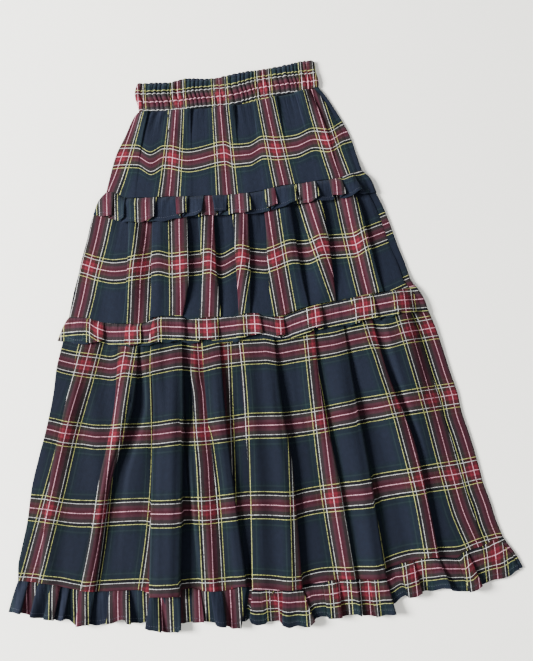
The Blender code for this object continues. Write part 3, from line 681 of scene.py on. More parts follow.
upperSeam = mm((
    (-209, 683.5), (-192.5, 679.5), (-180, 671), (-150, 668.5), (-102.5, 668), (-75.5, 666),
    (-30, 665.5), (0, 665), (28, 666.5), (50, 670), (71, 673.5), (100, 676), (135, 679),
    (166, 680.5), (184, 686), (209, 692.5)))
middleSeam = mm((
    (-275, 481), (-245, 476.5), (-220, 468), (-200, 465), (-160, 462.5), (-151, 463.5),
    (-143, 470.5), (-120, 472), (-95, 471), (-88, 464), (-55, 465.5), (-5, 464), (0, 467.5),
    (24, 467.5), (32, 462), (55, 460), (65, 461), (80, 465.5), (120, 475.5), (150, 478.5),
    (200, 485.5), (240, 489.5), (279, 493.5)))
casingSeam = mm((
    (-151, 818.5), (-70, 817.2), (0, 819), (50, 825.5), (100, 834), (149, 842.5)))
waistEdge = mm((
    (-150.5, 868), (-120, 867.5), (-102.5, 866), (-70, 871.5), (-33.5, 869), (0, 872.5),
    (29, 877.5), (50, 879), (71, 881), (98.5, 885), (117, 888.5), (137, 890), (145.5, 888.5)))
# the hem seam drops beside a deep fold, so it is drawn in runs
hemSeamRuns = mm((
    ((-362, 84.5), (-320, 77.5), (-280, 67), (-240, 60.5), (-180, 58.5), (-166, 53)),
    ((-165, 48.5), (-140, 47.8), (-118.5, 47)),
    ((-118, 55), (-100, 56), (-84, 51.5), (-53, 50), (-25, 55), (-12, 51.5)),
    ((-11.5, 48.5), (48, 45.5), (63.5, 45.5)),
    ((66.5, 50), (95, 51.5), (120, 55), (143, 53), (188.5, 51.5)),
    ((190, 64), (207, 69), (235, 75), (257, 78), (274.5, 76.5), (301, 74), (310, 81), (323, 84.5),
     (342, 89), (354, 94), (373, 100)),
))
hemEdgeRuns = mm((
    ((-377, 42), (-365, 39), (-343.5, 33), (-325, 29), (-307.5, 24), (-289, 25), (-275, 14),
     (-260, 15.5), (-240, 14), (-225, 17), (-203, 19), (-200, 14), (-175, 12.5)),
    ((-173, 4.5), (-165, 0), (-148, -4), (-125, -5), (-121.5, 0)),
    ((-118.5, 8), (-100, 8.5), (-68.5, 4.5), (-65, 1.5), (-51, 0), (-43, -4), (-36, -4)),
    ((-32.5, 4.5), (-25, 4.5), (-18.5, 8.5), (-15, 3), (-4, -3), (5.5, -3), (9, 0), (27.5, 0),
     (29, -4.5), (51, -8), (70, -8), (77.5, -3), (82, 1.5), (99, 1.5), (120, 3), (141.5, 4.5),
     (149, 1.5), (173, 0), (199.5, 1.5)),
    ((200.5, 15.5), (216.5, 25), (221, 22), (238.5, 26.5), (265, 30.5), (285, 31), (288.5, 26.5),
     (307, 25), (320, 27), (335, 34.5), (357, 40), (376, 42), (388.5, 48.5), (398.5, 50)),
))

# Heights of the cloth's middle above the surface
layer = {
    "floor": 0.00037,
    "backFold": 0.0015,
    "overRuffle": 0.0024,  # a back tier where the ruffle lies under it
    "front": 0.0028,
    "frontOverRuffle": 0.0047,
    "ruffleSeam": 0.0070,  # a front ruffle at its seam
    "hemBend": 0.0036,  # the front of the hem ruffle, where it stands highest and at its edge
    "hemEdge": 0.0024,
    "frontWaist": 0.0040,  # the upper tier at the casing
    "backWaist": 0.0008,
    "ruffleClear": 0.0008,  # between a ruffle and the folds it lies on
}


def along(*pairs):
    # a value that changes smoothly down a piece, from (share of its length, value) pairs
    if len(pairs) == 1:
        return lambda depth: pairs[0][1]
    line = SmoothLine(pairs)
    return lambda depth: float(line.at(depth))


def levels(*pairs):
    return along(*((share, layer[title]) for share, title in pairs))


def growing(low, high, length):
    return lambda depth: low + (high - low) * float(smooth(depth / length))


class HeightMap:
    # the top of the cloth that lies below, on a grid of cells
    def __init__(self, cell=0.004, low=(-0.45, -0.05), shape=(250, 230), bottom=0.0034):
        self.cell, self.low, self.shape = cell, low, shape
        self.top = np.full(shape, bottom)

    def cover(self, x, y, z):
        i = np.clip(((y - self.low[1]) / self.cell).astype(int), 0, self.shape[0] - 1)
        j = np.clip(((x - self.low[0]) / self.cell).astype(int), 0, self.shape[1] - 1)
        np.maximum.at(self.top, (i.ravel(), j.ravel()), z.ravel())

    def soften(self, reach=2):
        top = self.top
        for merge in (np.max, np.mean):
            for axis in (0, 1):
                top = merge([np.roll(top, k, axis) for k in range(-reach, reach + 1)], axis=0)
        self.smoothTop = top

    def at(self, x, y):
        u, v = (x - self.low[0]) / self.cell - 0.5, (y - self.low[1]) / self.cell - 0.5
        i = np.clip(np.floor(v).astype(int), 0, self.shape[0] - 2)
        j = np.clip(np.floor(u).astype(int), 0, self.shape[1] - 2)
        a, b = np.clip(u - j, 0, 1), np.clip(v - i, 0, 1)
        t = self.smoothTop
        return ((t[i, j] * (1 - a) + t[i, j + 1] * a) * (1 - b)
                + (t[i + 1, j] * (1 - a) + t[i + 1, j + 1] * a) * b)


def tierFolds(*rows):
    # (x at the four depths, cloth hidden there, side of the layer on top, share of the height)
    return [Fold(mm(row[:4]), mm(row[4:8]), *row[8:]) for row in rows]


def ruffleFolds(*rows):
    # (x at the seam, x at the edge, hidden at the seam, hidden at the edge, side)
    found = []
    for *places, side in rows:
        xTop, xFoot, top, foot = mm(places)
        found.append(Fold(tuple(xTop + (xFoot - xTop) * d for d in foldDepths),
                          tuple(top + (foot - top) * d for d in foldDepths), side))
    return found


def carried(fold, xFoot, foot):
    # the hem ruffle's stretch of a fold that runs down the tier above it
    return fold.x[-1] * 1000, xFoot, fold.hidden[-1] * 1000, foot, fold.side


def backFolds(front, share):
    # a back is folded much as its front is, with less cloth in its folds
    found = []
    for k, fold in enumerate(front):
        if fold.hidden[0] < cloth["backShort"] and k % 2:
            continue
        vary = 0.8 + 0.3 * ((k * 7) % 5) / 4
        move = cloth["backShift"] * ((k * 3 + 3) % 4 - 1.5)
        hidden = tuple(max(cloth["backLeast"], h * share * vary) for h in fold.hidden)
        found.append(Fold(tuple(x + move for x in fold.x), hidden, fold.side))
    return found


def shiftsFrom(*tables):
    # the pattern's shift on each stretch between folds, as tables of (depth, shift)
    lines = [along(*((depth, mm(shift)) for depth, shift in table)) for table in tables]
    repeats = []  # whole repeats hidden in each fold, settled at the first row

    def shifts(depth, found):
        values = [lines[0](depth)]
        for k, (fold, line) in enumerate(zip(found, lines[1:])):
            value = line(depth)
            if len(repeats) <= k:
                repeats.append(round((values[-1] + fold.hidden - value) / tartan["repeatAcross"]))
            values.append(value + tartan["repeatAcross"] * repeats[k])
        return values
    return shifts


def groupsAt(*places):
    # the same from the place of the middle of a group of stripes on each stretch
    return shiftsFrom(*[((0.0, -place),) for place in places])


def stripesDown(lines):
    # the pattern's place down the cloth, from where its pink lines run
    curves = [SmoothLine(line) for line in lines]
    repeat = tartan["repeatDown"]

    def down(x, y, depth):
        places = [curve.at(x) for curve in curves]
        v = places[0] - y
        for k in range(len(places) - 1):
            share = (places[k] - y) / (places[k] - places[k + 1])
            v = np.where(y < places[k], repeat * (k + share), v)
        return np.where(y < places[-1], repeat * (len(places) - 1) + places[-1] - y, v)
    return down


undulation = Waves(3, 0.055, 0.100)
streaks = Waves(5, 0.020, 0.160)


def swellsAt(x, depth, swells):
    # whole stretches that stand up beside a deep fold: each has where it starts and ends at four
    # depths, its heights there, and the widths of its two flanks
    total = np.zeros_like(x)
    for *rows, rise, fall in swells:
        start, end, height = (SmoothLine(list(zip(foldDepths, row))).at(depth) for row in rows)
        total += height * smooth((x - start) / rise) * smooth((end - x) / fall)
    return total


def wavesAcross(seed, pitch, x, depth):
    # waves that run down a piece and change slowly on the way
    return Waves(seed, pitch, 0.5).at(x, depth * 0.2)


def reliefAt(ground, x, y, depth, spec):
    # broad waves of the whole skirt, soft streaks down it, and gathers that fade from the seam
    broad = undulation.at(x, y) * cloth["undulation"] + streaks.at(x, y) * cloth["streaks"]
    left, right = (np.array([ground.side(end, d) for d in spec["rows"]])[:, None]
                   for end in (0, -1))
    share = (x - left) / (right - left) * (ground.side(-1, 0.0) - ground.side(0, 0.0))
    amount, pitch, reach = spec["gathers"]
    gathers = wavesAcross(spec["seed"], pitch, share, depth) * amount * np.exp(-depth / reach)
    gathers *= smooth(depth / spec.get("gatherStart", 0.001))
    flareHeight, flarePitch = spec.get("flare", (0.0, 0.01))
    flare = wavesAcross(spec["seed"] + 7, flarePitch, share, depth) * flareHeight * depth
    if "swells" in spec:
        swellDepth = np.full_like(x, spec["swellDepth"]) if "swellDepth" in spec else depth
        gathers = gathers + swellsAt(x, swellDepth, spec["swells"])
    # a piece that carries another's swells on carries its waves on as well
    fromSeam = smooth(depth / 0.02 + spec.get("swellDepth", 0.0))
    return broad * spec.get("broad", 1.0) * fromSeam + gathers + flare


def gatheredAt(depth, spec):
    # from 1 in the gathers at the seam above to the little that is left far below them
    rest = spec.get("restGathers", 0.12)
    return rest + (1 - rest) * np.exp(-depth / spec["gathers"][2])


stitchPaths = []  # places of the rows of stitches on the cloth's face


def visiblePath(x, y, z, depth, share, front):
    # the runs of one row across that no fold of the same row covers
    r = int(np.argmin(np.abs(depth[:, 0] - share)))
    px, py, pz = x[r], y[r], z[r]
    low, high = np.minimum(px[:-1], px[1:]), np.maximum(px[:-1], px[1:])
    spans = (px[:, None] >= low) & (px[:, None] <= high)
    part = (px[:, None] - px[:-1]) / np.where(np.abs(np.diff(px)) < 1e-7, 1e-7, np.diff(px))
    over = np.where(spans, pz[:-1] + np.clip(part, 0, 1) * np.diff(pz), -1.0).max(axis=1)
    seen = (over < pz + 0.0004) & (front[r] > 0.9)
    runs, run = [], []
    for k in range(len(px)):
        if seen[k]:
            face = pz[k] + cloth["thickness"] / 2
            run.append((px[k] + skirtPlace[0], py[k] + skirtPlace[1], face))
        elif run:
            runs.append(run)
            run = []
    return [run for run in runs + [run] if len(run) > 2]


def sewFront(name, ground, spec, below=None):
    x, y, z, s, rise, front = frontGrid(ground, spec)
    depth = np.array(spec["rows"])[:, None] * np.ones_like(x)
    freeEdge = "stitchRows" in spec  # a narrow hem in place of a seam
    if below is not None:
        seamLevel = np.array([spec["frontLevel"](d) for d in spec["rows"]])[:, None]
        clear = below.at(x, y) + layer["ruffleClear"] - seamLevel
        z += front * np.maximum(0.0, clear) * smooth(depth / 0.24)
    z += reliefAt(ground, x, y, depth, spec) * front
    curlY, curlZ = spec.get("edgeCurl", (0.0, 0.0))
    y += curlY * rise * depth**1.5 * front
    z += curlZ * rise * depth**2 * front
    # the cloth dips into its seams
    length = np.hypot(y[-1] - y[0], z[-1] - z[0])
    dips = [(depth * length, *cloth["seamDip"])]
    if not freeEdge:
        dips.append(((1 - depth) * length, *cloth["seamDip"]))
    if "rightEnd" not in spec:
        dips.append((np.abs(x - x[:, -1:]), *cloth["sideDip"]))
    for away, dip, reach in dips:
        z -= dip * np.exp(-away / reach) * front
    if freeEdge:
        wave, pitch = spec["flareY"]
        y += wave * (Waves(spec["seed"] + 9, pitch, 0.5).at(x, 0 * x) - 0.5) * depth**2
    s, v = spec["pattern"](x, y, depth) if "pattern" in spec else (s, spec["down"](x, y, depth))
    piece = shellMesh(name, x, y, z, s, v, gatheredAt(depth, spec), spec.get("tone", 1.0))
    finishPiece(piece, name)
    for share in spec.get("stitchRows", ()):
        stitchPaths.append(visiblePath(x, y, z, depth, share, front))
    return x, y, z


def sewBack(name, ground, spec):
    x, y, z, s, depth, front = backGrid(ground, spec)
    strip, underside = cloth["backRelief"]
    z += front * (undulation.at(x, y) * strip)
    pitch, reach = spec["gathers"][1:]
    waves = wavesAcross(spec["seed"] + 50, pitch * 1.3, x, depth)
    z += (1 - front) * waves * underside * np.exp(-depth / reach)
    v = spec.get("backDown", spec["down"])(x, y, depth)
    piece = shellMesh(name, x, y, z, s, v, gatheredAt(depth, spec), spec.get("tone", 1.0))
    finishPiece(piece, name)


def rowsOf(count, gather=1.15):
    # rows down a piece, closer at its ends
    u = np.linspace(-1, 1, count)
    return list(0.5 + 0.5 * np.sign(u) * np.abs(u) ** (1 / gather))


below = HeightMap()

# Lower tier
lowerPink = mm((
    ((-300, 417), (-287.5, 411.5), (-260, 403.5), (-227.5, 397.5), (-210, 394), (-190, 398.5),
     (-170, 395), (-145, 398), (-120, 402), (-100, 404), (-70, 399), (-40, 403.5), (0, 405),
     (30, 405), (50, 401), (80, 404), (105, 406), (140, 408.5), (165, 413.5), (185, 416),
     (200, 417.5), (225, 415), (250, 420), (300, 426)),
    ((-320, 309.5), (-310, 306.5), (-285, 299), (-260, 295), (-235, 290), (-185, 288.5),
     (-145, 288), (-106, 290), (-105, 288), (-75, 287), (-40, 288.5), (-10, 291), (0, 291.5),
     (50, 290), (80, 291), (107.5, 293.5), (135, 297.5), (165.5, 302), (166, 303.5), (200, 306.5),
     (225, 310), (280, 315), (322.5, 319)),
    ((-350, 192), (-337.5, 189.5), (-310, 185), (-285, 179), (-260, 176), (-230, 175), (-195, 175),
     (-158.2, 172.8), (-157.7, 169.8), (-115, 168), (-109.5, 168.5), (-109, 171), (-70, 169),
     (-40, 171), (0, 172.5), (30, 170), (60, 167.5), (80, 171), (110, 174), (140, 176),
     (181, 178.5), (181.5, 183.5), (220, 188.5), (250, 191.5), (280, 195), (315, 197.5),
     (345, 202)),
    ((-360, 76), (-350, 75), (-300, 66), (-260, 57), (-220, 56), (-195, 55.5), (-165, 54),
     (-164.5, 45.5), (-119, 45), (-118.5, 49.5), (-70, 49), (-12, 50), (-9, 51), (50, 43.5),
     (64, 43.5), (66.5, 47), (100, 52.5), (150, 50), (189.5, 50), (190, 59), (250, 71), (300, 69),
     (330, 78), (365, 85.5)),
))
lowerSwells = mm((
    ((-104, -104, -101, -90), (-45, -45, -42, -33), (0, 1.5, 6.5, 6.5), 8, 26),
    ((206, 229, 260, 280), (270, 290, 310, 330), (3, 8.5, 3, 0), 8, 30),
    ((-170, -164, -198, -220), (-120, -122, -155, -180), (1, 4, 2.8, 0), 10, 25),
))
lowerTier = {
    "flat": (1.08, 0.41),
    # painted shade: darkens the lower tier's whole cloth
    "tone": 0.74,
    "rows": rowsOf(76),
    "span": 0.0032,
    "roll": 2.4,
    "inset": 0.029,
    "sideGroup": 0.009,
    "seed": 11,
    "gathers": (0.0042, 0.0105, 0.13),
    "gatherStart": 0.035,
    "swells": lowerSwells,
    "height": growing(0.0013, 0.0085, 0.38),
    "backHeight": layer["backFold"],
    "backLevel": levels((0.0, "overRuffle"), (0.1, "overRuffle"), (0.28, "floor")),
    "frontLevel": levels((0.0, "frontOverRuffle"), (0.1, "frontOverRuffle"), (0.28, "front")),
    "style": {"sag": 0.25, "crest": 0.010, "plump": 0.18, "curl": 0.010},
    "down": stripesDown(lowerPink),
    "folds": tierFolds(
        (-250, -279, -309, -331, 26, 12, 5, 1, -1),
        (-195, -206, -234, -270, 43, 23, 15, 6, -1),
        (-162, -176, -214, -246, 32, 18, 8.5, 3, 1, 1.3),
        (-146, -146, -154, -165, 37, 36, 33, 23, -1, 1.25),
        (-96.5, -99, -107, -118.5, 62, 62, 62, 62, 1, 1.5),
        (-82, -87, -86, -74, 40, 4, 1, 1, -1),
        (-67.5, -65, -58.5, -54, 7.5, 10.5, 3, 0.02, -1, 0.5),
        (-39, -37.2, -31, -19, 52, 52, 50, 52, 1),
        (-8.8, -7, -6, -11.5, 63, 63, 68, 80, -1, 1.2),
        (46, 51, 62, 63.5, 49, 50, 43, 29.5, 1, 1.25),
        (109.5, 113, 130, 146, 31, 15, 8, 4, 1),
        (155, 165, 178, 190, 63, 54, 48, 39, 1),
        (196, 219, 253, 272, 32, 49, 46, 34, 1),
    ),
    "shifts": shiftsFrom(
        ((0, 204), (0.3, 258), (0.6, 294.5), (1, 342.5)),
        ((0, 230), (0.235, 257.5), (0.43, 281.5), (0.68, 307.5), (0.926, 334), (1, 343)),
        ((0, 273), (0.31, 297.5), (0.555, 313), (0.8, 329.5), (1, 348.5)),
        ((0, 312), (0.2, 320.5), (0.39, 322), (0.51, 324.5), (0.634, 329), (0.8, 338), (1, 353)),
        ((0, 355), (0.1, 356.5), (0.71, 368), (1, 377)),
        ((0, 417), (0.1, 418.5), (0.22, 424), (0.3, 442), (0.6, 444), (1, 444)),
        ((0, 450), (0.2, 449.5), (0.3, 446), (0.42, 445.5), (0.57, 443), (1, 444.5)),
        ((0, 460), (0.37, 459.5), (0.45, 452), (0.57, 447.5), (0.65, 445.5), (0.8, 444.5),
         (1, 444.6)),
        ((0, 508), (0.31, 511), (0.68, 515), (1, 525)),
        ((0, 586), (0.31, 582), (0.65, 586), (1, 592)),
        ((0, 642), (0.3, 639), (0.67, 632.5), (1, 621)),
        ((0, 672), (0.3, 654), (0.6, 642), (1, 625)),
        ((0, 742), (0.17, 729), (0.23, 722.5), (0.31, 715.5), (0.4, 707.2), (0.55, 695.5),
         (0.8, 679.5), (1, 672)),
        ((0, 785), (0.206, 768), (0.479, 746), (0.727, 728.5), (0.851, 719), (0.92, 711),
         (1, 700)),
    ),
}
lf = lowerTier["folds"]
lowerTier["backFolds"] = backFolds(lf[:6] + lf[7:], 0.6)
lowerSides = mm((
    ((-289, 430), (-296.5, 402), (-303, 361), (-315, 308), (-326, 270), (-339, 220), (-346.5, 170),
     (-356, 130), (-361.5, 105)),
    ((299, 441), (310, 398.5), (320, 351.5), (327.5, 320), (330, 295), (338.5, 258), (346, 220),
     (352.5, 180), (360, 151.5), (365, 126.5)),
))
seamGap, tierGap = cloth["gap"] / 2, 0.0015  # a ruffle is sewn in between two tiers
lowerGround = Ground(middleSeam, {"runs": hemSeamRuns, "after": (3, 4, 8, 9, 11)}, *lowerSides,
                     topGap=tierGap, footGap=seamGap)
below.cover(*sewFront("lower_tier_front", lowerGround, lowerTier))
smoothHem = [point for run in hemSeamRuns for point in run]
lowerBackGround = Ground(middleSeam, smoothHem, *lowerSides, topGap=tierGap, footGap=seamGap)
sewBack("lower_tier_back", lowerBackGround, lowerTier)
print("lower tier sewn")

# Hem ruffle: its front is joined from two strips, the right one cut along a red band
hemJoin = along((0.0, -0.0152), (1.0, -0.0245))
hemSides = mm((
    ((-362, 84.5), (-368.5, 67), (-377, 42)),
    ((373, 100), (379, 89), (390, 72), (398.5, 50)),
))
hemStyle = {"sag": 0.1, "crest": 0.006, "plump": 0.15, "curl": 0.007}
hemRuffle = {
    # painted shade: darkens the hem ruffle's whole cloth
    "tone": 0.83,
    "rows": rowsOf(24, 1.0),
    "span": 0.0028,
    "roll": 2.5,
    "inset": 0.006,
    "seed": 21,
    "broad": 0.5,
    "gathers": (0.0020, 0.008, 0.5),
    "restGathers": 0.35,
    "flare": (0.0019, 0.014),
    "flareY": (0.0040, 0.013),
    "swells": lowerSwells,
    "swellDepth": 1.0,
    "stitchRows": (0.89,),
    "height": growing(0.0034, 0.0048, 1.0),
    "backHeight": layer["backFold"],
    "backLevel": levels((0.0, "floor")),
    "frontLevel": levels((0.0, "front"), (0.3, "hemBend"), (1.0, "hemEdge")),
    "style": hemStyle,
    "edgeCurl": (0.0, 0.0040),
}
start = 1.8  # cloth that a fold of a strip hides at its seam
leftStrip = dict(
    hemRuffle,
    flat=(0.60, 0.058),
    rightEnd=hemJoin,
    down=lambda x, y, depth: 0.0320 + depth * 0.050,
    folds=ruffleFolds(
        (-345, -357, start, 11, 1), carried(lf[0], -343, 13), (-312, -323, start, 8, -1),
        (-298, -308, start, 15, 1), (-284, -293, start, 10, 1), carried(lf[1], -275, 15),
        carried(lf[2], -256, 11), (-225, -230, start, 12, -1), (-195, -193.5, start, 14, 1),
        carried(lf[3], -173, 20), (-151, -149, start, 6, 1), carried(lf[4], -120, 30),
        (-102, -102, start, 11, -1), (-88, -85, start, 11, 1), carried(lf[5], -68, 13),
        (-56, -52, start, 6, 1), carried(lf[7], -31, 20)),
    shifts=groupsAt(
        -395, -349, -386, -297, -345, -262, -273.5, -290, -212.5, -158, -135, -148, -124, -91.5,
        -94.5, -110, -44.5, -75),
)
rightStrip = dict(
    hemRuffle,
    flat=(0.66, 0.058),
    leftEnd=lambda depth: hemJoin(depth) + cloth["gap"],
    down=lambda x, y, depth: depth * 0.056 - 0.0190,
    folds=ruffleFolds(
        carried(lf[8], -18, 32), (34, 30, start, 8, -1), carried(lf[9], 79, 24),
        (94, 99, start, 10, -1), (117, 120, start, 11, 1), carried(lf[10], 149, 11),
        (162, 170, start, 5, -1), carried(lf[11], 200, 24), (212, 220, start, 9, -1),
        (233, 242, start, 10, 1), carried(lf[12], 287, 20), (300, 312, start, 11, -1),
        (316, 332, start, 11, 1)),
    shifts=groupsAt(
        -45, 26.5, 84, 119, 121, 119, 163, 160, 246, 233.5, 233.5, 327, 327, 358),
)
leftStrip["backFolds"] = backFolds(leftStrip["folds"], 0.5)
rightStrip["backFolds"] = leftStrip["backFolds"]
sewFront("hem_ruffle_front_left",
         Ground({"runs": hemSeamRuns, "after": (9, 11, 99, 99, 99)},
                {"runs": hemEdgeRuns, "after": (9, 11, 16, 99)}, *hemSides, topGap=seamGap),
         leftStrip)
sewFront("hem_ruffle_front_right",
         Ground({"runs": hemSeamRuns, "after": (-1, -1, 0, 2, 7)},
                {"runs": hemEdgeRuns, "after": (-1, -1, -1, 7)}, *hemSides, topGap=seamGap),
         rightStrip)
hemBackEdge = mm((
    (-377, 45), (-325, 32), (-275, 22), (-225, 19.5), (-150, 11), (-60, 9), (30, 4), (100, 6),
    (170, 8), (240, 30), (300, 32), (350, 42), (398.5, 53)))
backWave = [(-345 + 43 * k, -352 + 43.7 * k, 4, 16 + 6 * (k % 3), 1 if k % 2 else -1)
            for k in range(16)]
hemBack = dict(hemRuffle, flat=(0.86, 0.055), backFolds=ruffleFolds(*backWave),
               down=lambda x, y, depth: depth * 0.056 + 0.0225 - 0.0415 * smooth((x - 0.30) / 0.05))
sewBack("hem_ruffle_back", Ground(smoothHem, hemBackEdge, *hemSides, topGap=seamGap), hemBack)
print("hem ruffle sewn")

# Middle tier
middleSides = mm((
    ((-231.5, 646), (-243.5, 605), (-252.5, 575), (-258.5, 550), (-267.5, 518)),
    ((230, 650), (239, 627.5), (248.5, 594), (256, 563), (265, 533), (273, 500.5)),
))
middlePink = SmoothLine(mm((
    (-275, 572), (-252, 566), (-229, 557), (-198, 550), (-157, 554), (-130, 558), (-108, 553),
    (-49, 556), (-30, 548), (0, 559), (22, 554), (43, 551), (86, 562), (110, 561), (135, 568),
    (184, 568), (206, 577), (236, 587), (270, 600))))
middleTier = {
    "flat": (0.75, 0.20),
    # painted shade: darkens the middle tier's whole cloth
    "tone": 0.87,
    "rows": rowsOf(46),
    "span": 0.0027,
    "roll": 2.4,
    "inset": 0.012,
    "seed": 13,
    "gathers": (0.0046, 0.0095, 0.25),
    "gatherStart": 0.07,
    "backDown": lambda x, y, depth: middlePink.at(x) + 0.012 - y,
    "height": along((0, 0.0012), (0.35, 0.0070), (0.75, 0.0065), (1, 0.0024)),
    "backHeight": layer["backFold"],
    "backLevel": levels((0.0, "overRuffle"), (0.18, "overRuffle"), (0.4, "floor")),
    "frontLevel": levels((0.0, "frontOverRuffle"), (0.18, "frontOverRuffle"), (0.4, "front"),
                         (0.8, "front"), (1.0, "ruffleSeam")),
    "style": {"sag": 0.25, "crest": 0.009, "plump": 0.18, "curl": 0.010},
    "down": lambda x, y, depth: middlePink.at(x) - y,
    "folds": tierFolds(
        (-173, -175, -180, -189, 15, 11, 10, 4, -1),
        (-132, -137, -141, -145, 37, 36, 30, 27, -1),
        (-80, -80, -81, -95, 45, 37, 40, 44, 1),
        (-62, -62, -61, -69, 12, 8, 5, 1.2, -1),
        (-36, -37, -37, -34, 15, 17, 17, 5, 1),
        (-6.5, -6, -5.5, -6, 26, 25, 29, 46, -1),
        (19, 18, 17, 12, 22, 20, 14, 8, 1),
        (43, 46, 45, 46, 18, 16, 14, 11, -1),
        (85, 90, 95, 105, 26, 20, 12, 3, 1),
        (136, 142, 146.5, 149, 30, 34, 43, 50, 1),
        (180, 202, 212, 225, 15, 11, 8, 3, 1),
    ),
    "shifts": shiftsFrom(
        ((0, 209), (0.38, 228.5), (0.6, 241), (0.93, 256.5), (1, 260)),
        ((0, 233), (0.35, 243.5), (0.59, 252), (1, 259)),
        ((0, 279), (0.35, 281.5), (0.83, 284.5), (1, 286)),
        ((0, 312), (1, 322)),
        ((0, 317), (0.49, 326), (0.83, 332), (1, 335)),
        ((0, 343), (1, 345)),
        ((0, 362), (0.49, 370), (0.83, 384), (1, 391)),
        ((0, 392), (1, 396)),
        ((0, 421), (0.49, 413.5), (1, 403)),
        ((0, 453), (0.17, 445.5), (0.52, 430), (1, 406)),
        ((0, 485), (0.4, 474.5), (1, 458)),
        ((0, 501), (0.4, 484), (1, 461)),
    ),
}
middleTier["backFolds"] = backFolds(middleTier["folds"], 0.55)
middleGround = Ground(upperSeam, middleSeam, *middleSides, topGap=tierGap, footGap=seamGap)
middleCloth = sewFront("middle_tier_front", middleGround, middleTier)
sewBack("middle_tier_back", middleGround, middleTier)
print("middle tier sewn")

# Ruffles over the tier seams
middleRuffleEdge = mm((
    (-294, 443.5), (-256, 436), (-220, 435), (-200, 430), (-161, 426.5), (-150, 425),
    (-140, 428.5), (-95, 428.5), (-78, 423.5), (-59, 426.5), (-12, 423.5), (0, 429), (29, 429),
    (45, 426.5), (51.5, 423), (73, 423.5), (95, 428), (129, 437.5), (157, 437.5), (188.5, 442),
    (232, 447), (270, 451.5), (294.5, 452)))
middleRufflePink = SmoothLine(mm((
    (-290, 470), (-260, 470), (-245, 468.5), (-230, 459), (-210, 452), (-175, 450), (-150, 449.5),
    (-130, 454), (-100, 451.5), (-55, 447), (-10, 449), (15, 449), (35, 445.5), (60, 439.5),
    (80, 445), (100, 450), (120, 454), (150, 459), (200, 465.5), (250, 471), (290, 473))))
middleRuffleSides = mm((
    ((-279.5, 475), (-287, 461)),
    ((282, 488.5), (290, 471.5)),
))
ruffleStyle = {"sag": 0.1, "crest": 0.006, "plump": 0.2, "curl": 0.008}
middleRuffle = {
    "flat": (0.875, 0.045),
    "backFlat": (0.72, 0.045),
    "rows": rowsOf(22, 1.0),
    "span": 0.0024,
    "roll": 2.5,
    "inset": 0.012,
    "seed": 31,
    "broad": 0.5,
    "gathers": (0.0018, 0.007, 0.6),
    "restGathers": 0.45,
    "flare": (0.0012, 0.012),
    "flareY": (0.0042, 0.011),
    "stitchRows": (0.88,),
    "height": growing(0.0012, 0.0028, 0.7),
    "backHeight": 0.0013,
    "backLevel": levels((0.0, "floor")),
    "frontLevel": levels((0.0, "ruffleSeam")),
    "style": ruffleStyle,
    "edgeCurl": (0.0045, 0.0007),
    "down": lambda x, y, depth: middleRufflePink.at(x) - y,
    "folds": ruffleFolds(
        (-247, -253, 18, 20, -1), (-219, -219, 13, 15, 1), (-183, -187, 18, 20, -1),
        (-160, -160, 15, 16, 1), (-140, -149, 26, 28, -1), (-91, -92, 30, 34, 1),
        (-75, -75, 11, 12, -1), (-39, -40, 20, 22, 1), (-9, -12, 26, 30, -1), (27, 30, 12, 14, 1),
        (50, 51, 12, 14, -1), (64, 65, 12, 14, 1), (101, 102, 18, 20, -1), (125, 126, 18, 20, 1),
        (172, 176, 16, 19, -1), (207, 212, 14, 15, 1), (233, 240, 9, 11, -1)),
    "shifts": groupsAt(
        -300, -228, -155, -178.3, -205, -146, -129, -57, -73, 18, -6, 58, 32, 114, 194, 190, 260,
        256),
}
middleRuffle["backFolds"] = backFolds(middleRuffle["folds"], 0.6)
below.soften()
middleRuffleGround = Ground(middleSeam, middleRuffleEdge, *middleRuffleSides, topGap=seamGap)
sewFront("middle_ruffle_front", middleRuffleGround, middleRuffle, below)
sewBack("middle_ruffle_back", middleRuffleGround, middleRuffle)

below.cover(*middleCloth)
below.soften()
upperRuffleEdge = mm((
    (-231.5, 647), (-190, 630), (-150, 624.5), (-120, 625), (-95, 628.5), (-50, 629), (25, 629),
    (80, 637), (130, 642.5), (180, 646.5), (229.5, 654)))
upperRuffleSides = mm((
    ((-213.5, 683), (-222.5, 668)),
    ((212, 692), (222.5, 676.5)),
))
upperRuffle = dict(
    middleRuffle,
    flat=(0.76, 0.045),
    backFlat=(0.56, 0.045),
    seed=41,
    down=lambda x, y, depth: 0.0320 + depth * 0.045 - 0.0195 * smooth((x - 0.15) / 0.03),
    edgeCurl=(0.0065, 0.0012),
    folds=ruffleFolds(
        (-196, -200, 9, 12, 1), (-178, -180, 12, 15, 1), (-127, -131, 19, 24, 1),
        (-96, -95.5, 20, 23, -1), (-76, -80, 16, 20, 1), (-51, -54.5, 20, 25, 1),
        (-37, -34, 6, 9, -1), (-13, -16, 22, 27, 1), (22, 26.5, 22, 25, 1), (47, 50, 7, 9, -1),
        (64, 67, 16, 22, 1), (96, 102, 15, 19, 1), (131, 137, 18, 22, 1), (153, 156, 6, 8, -1),
        (172, 179, 16, 22, 1), (193, 206, 6, 11, 1)),
    shifts=groupsAt(
        -207.5, -207.5, -145, -160, -97.2, -120, -43, -70, 6, -20, 66, 20, 116.5, 100, 164, 135,
        240),
)
upperRuffle["backFolds"] = backFolds(upperRuffle["folds"], 0.6)
upperRuffleGround = Ground(upperSeam, upperRuffleEdge, *upperRuffleSides, topGap=seamGap)
sewFront("upper_ruffle_front", upperRuffleGround, upperRuffle, below)
sewBack("upper_ruffle_back", upperRuffleGround, upperRuffle)
print("ruffles sewn")

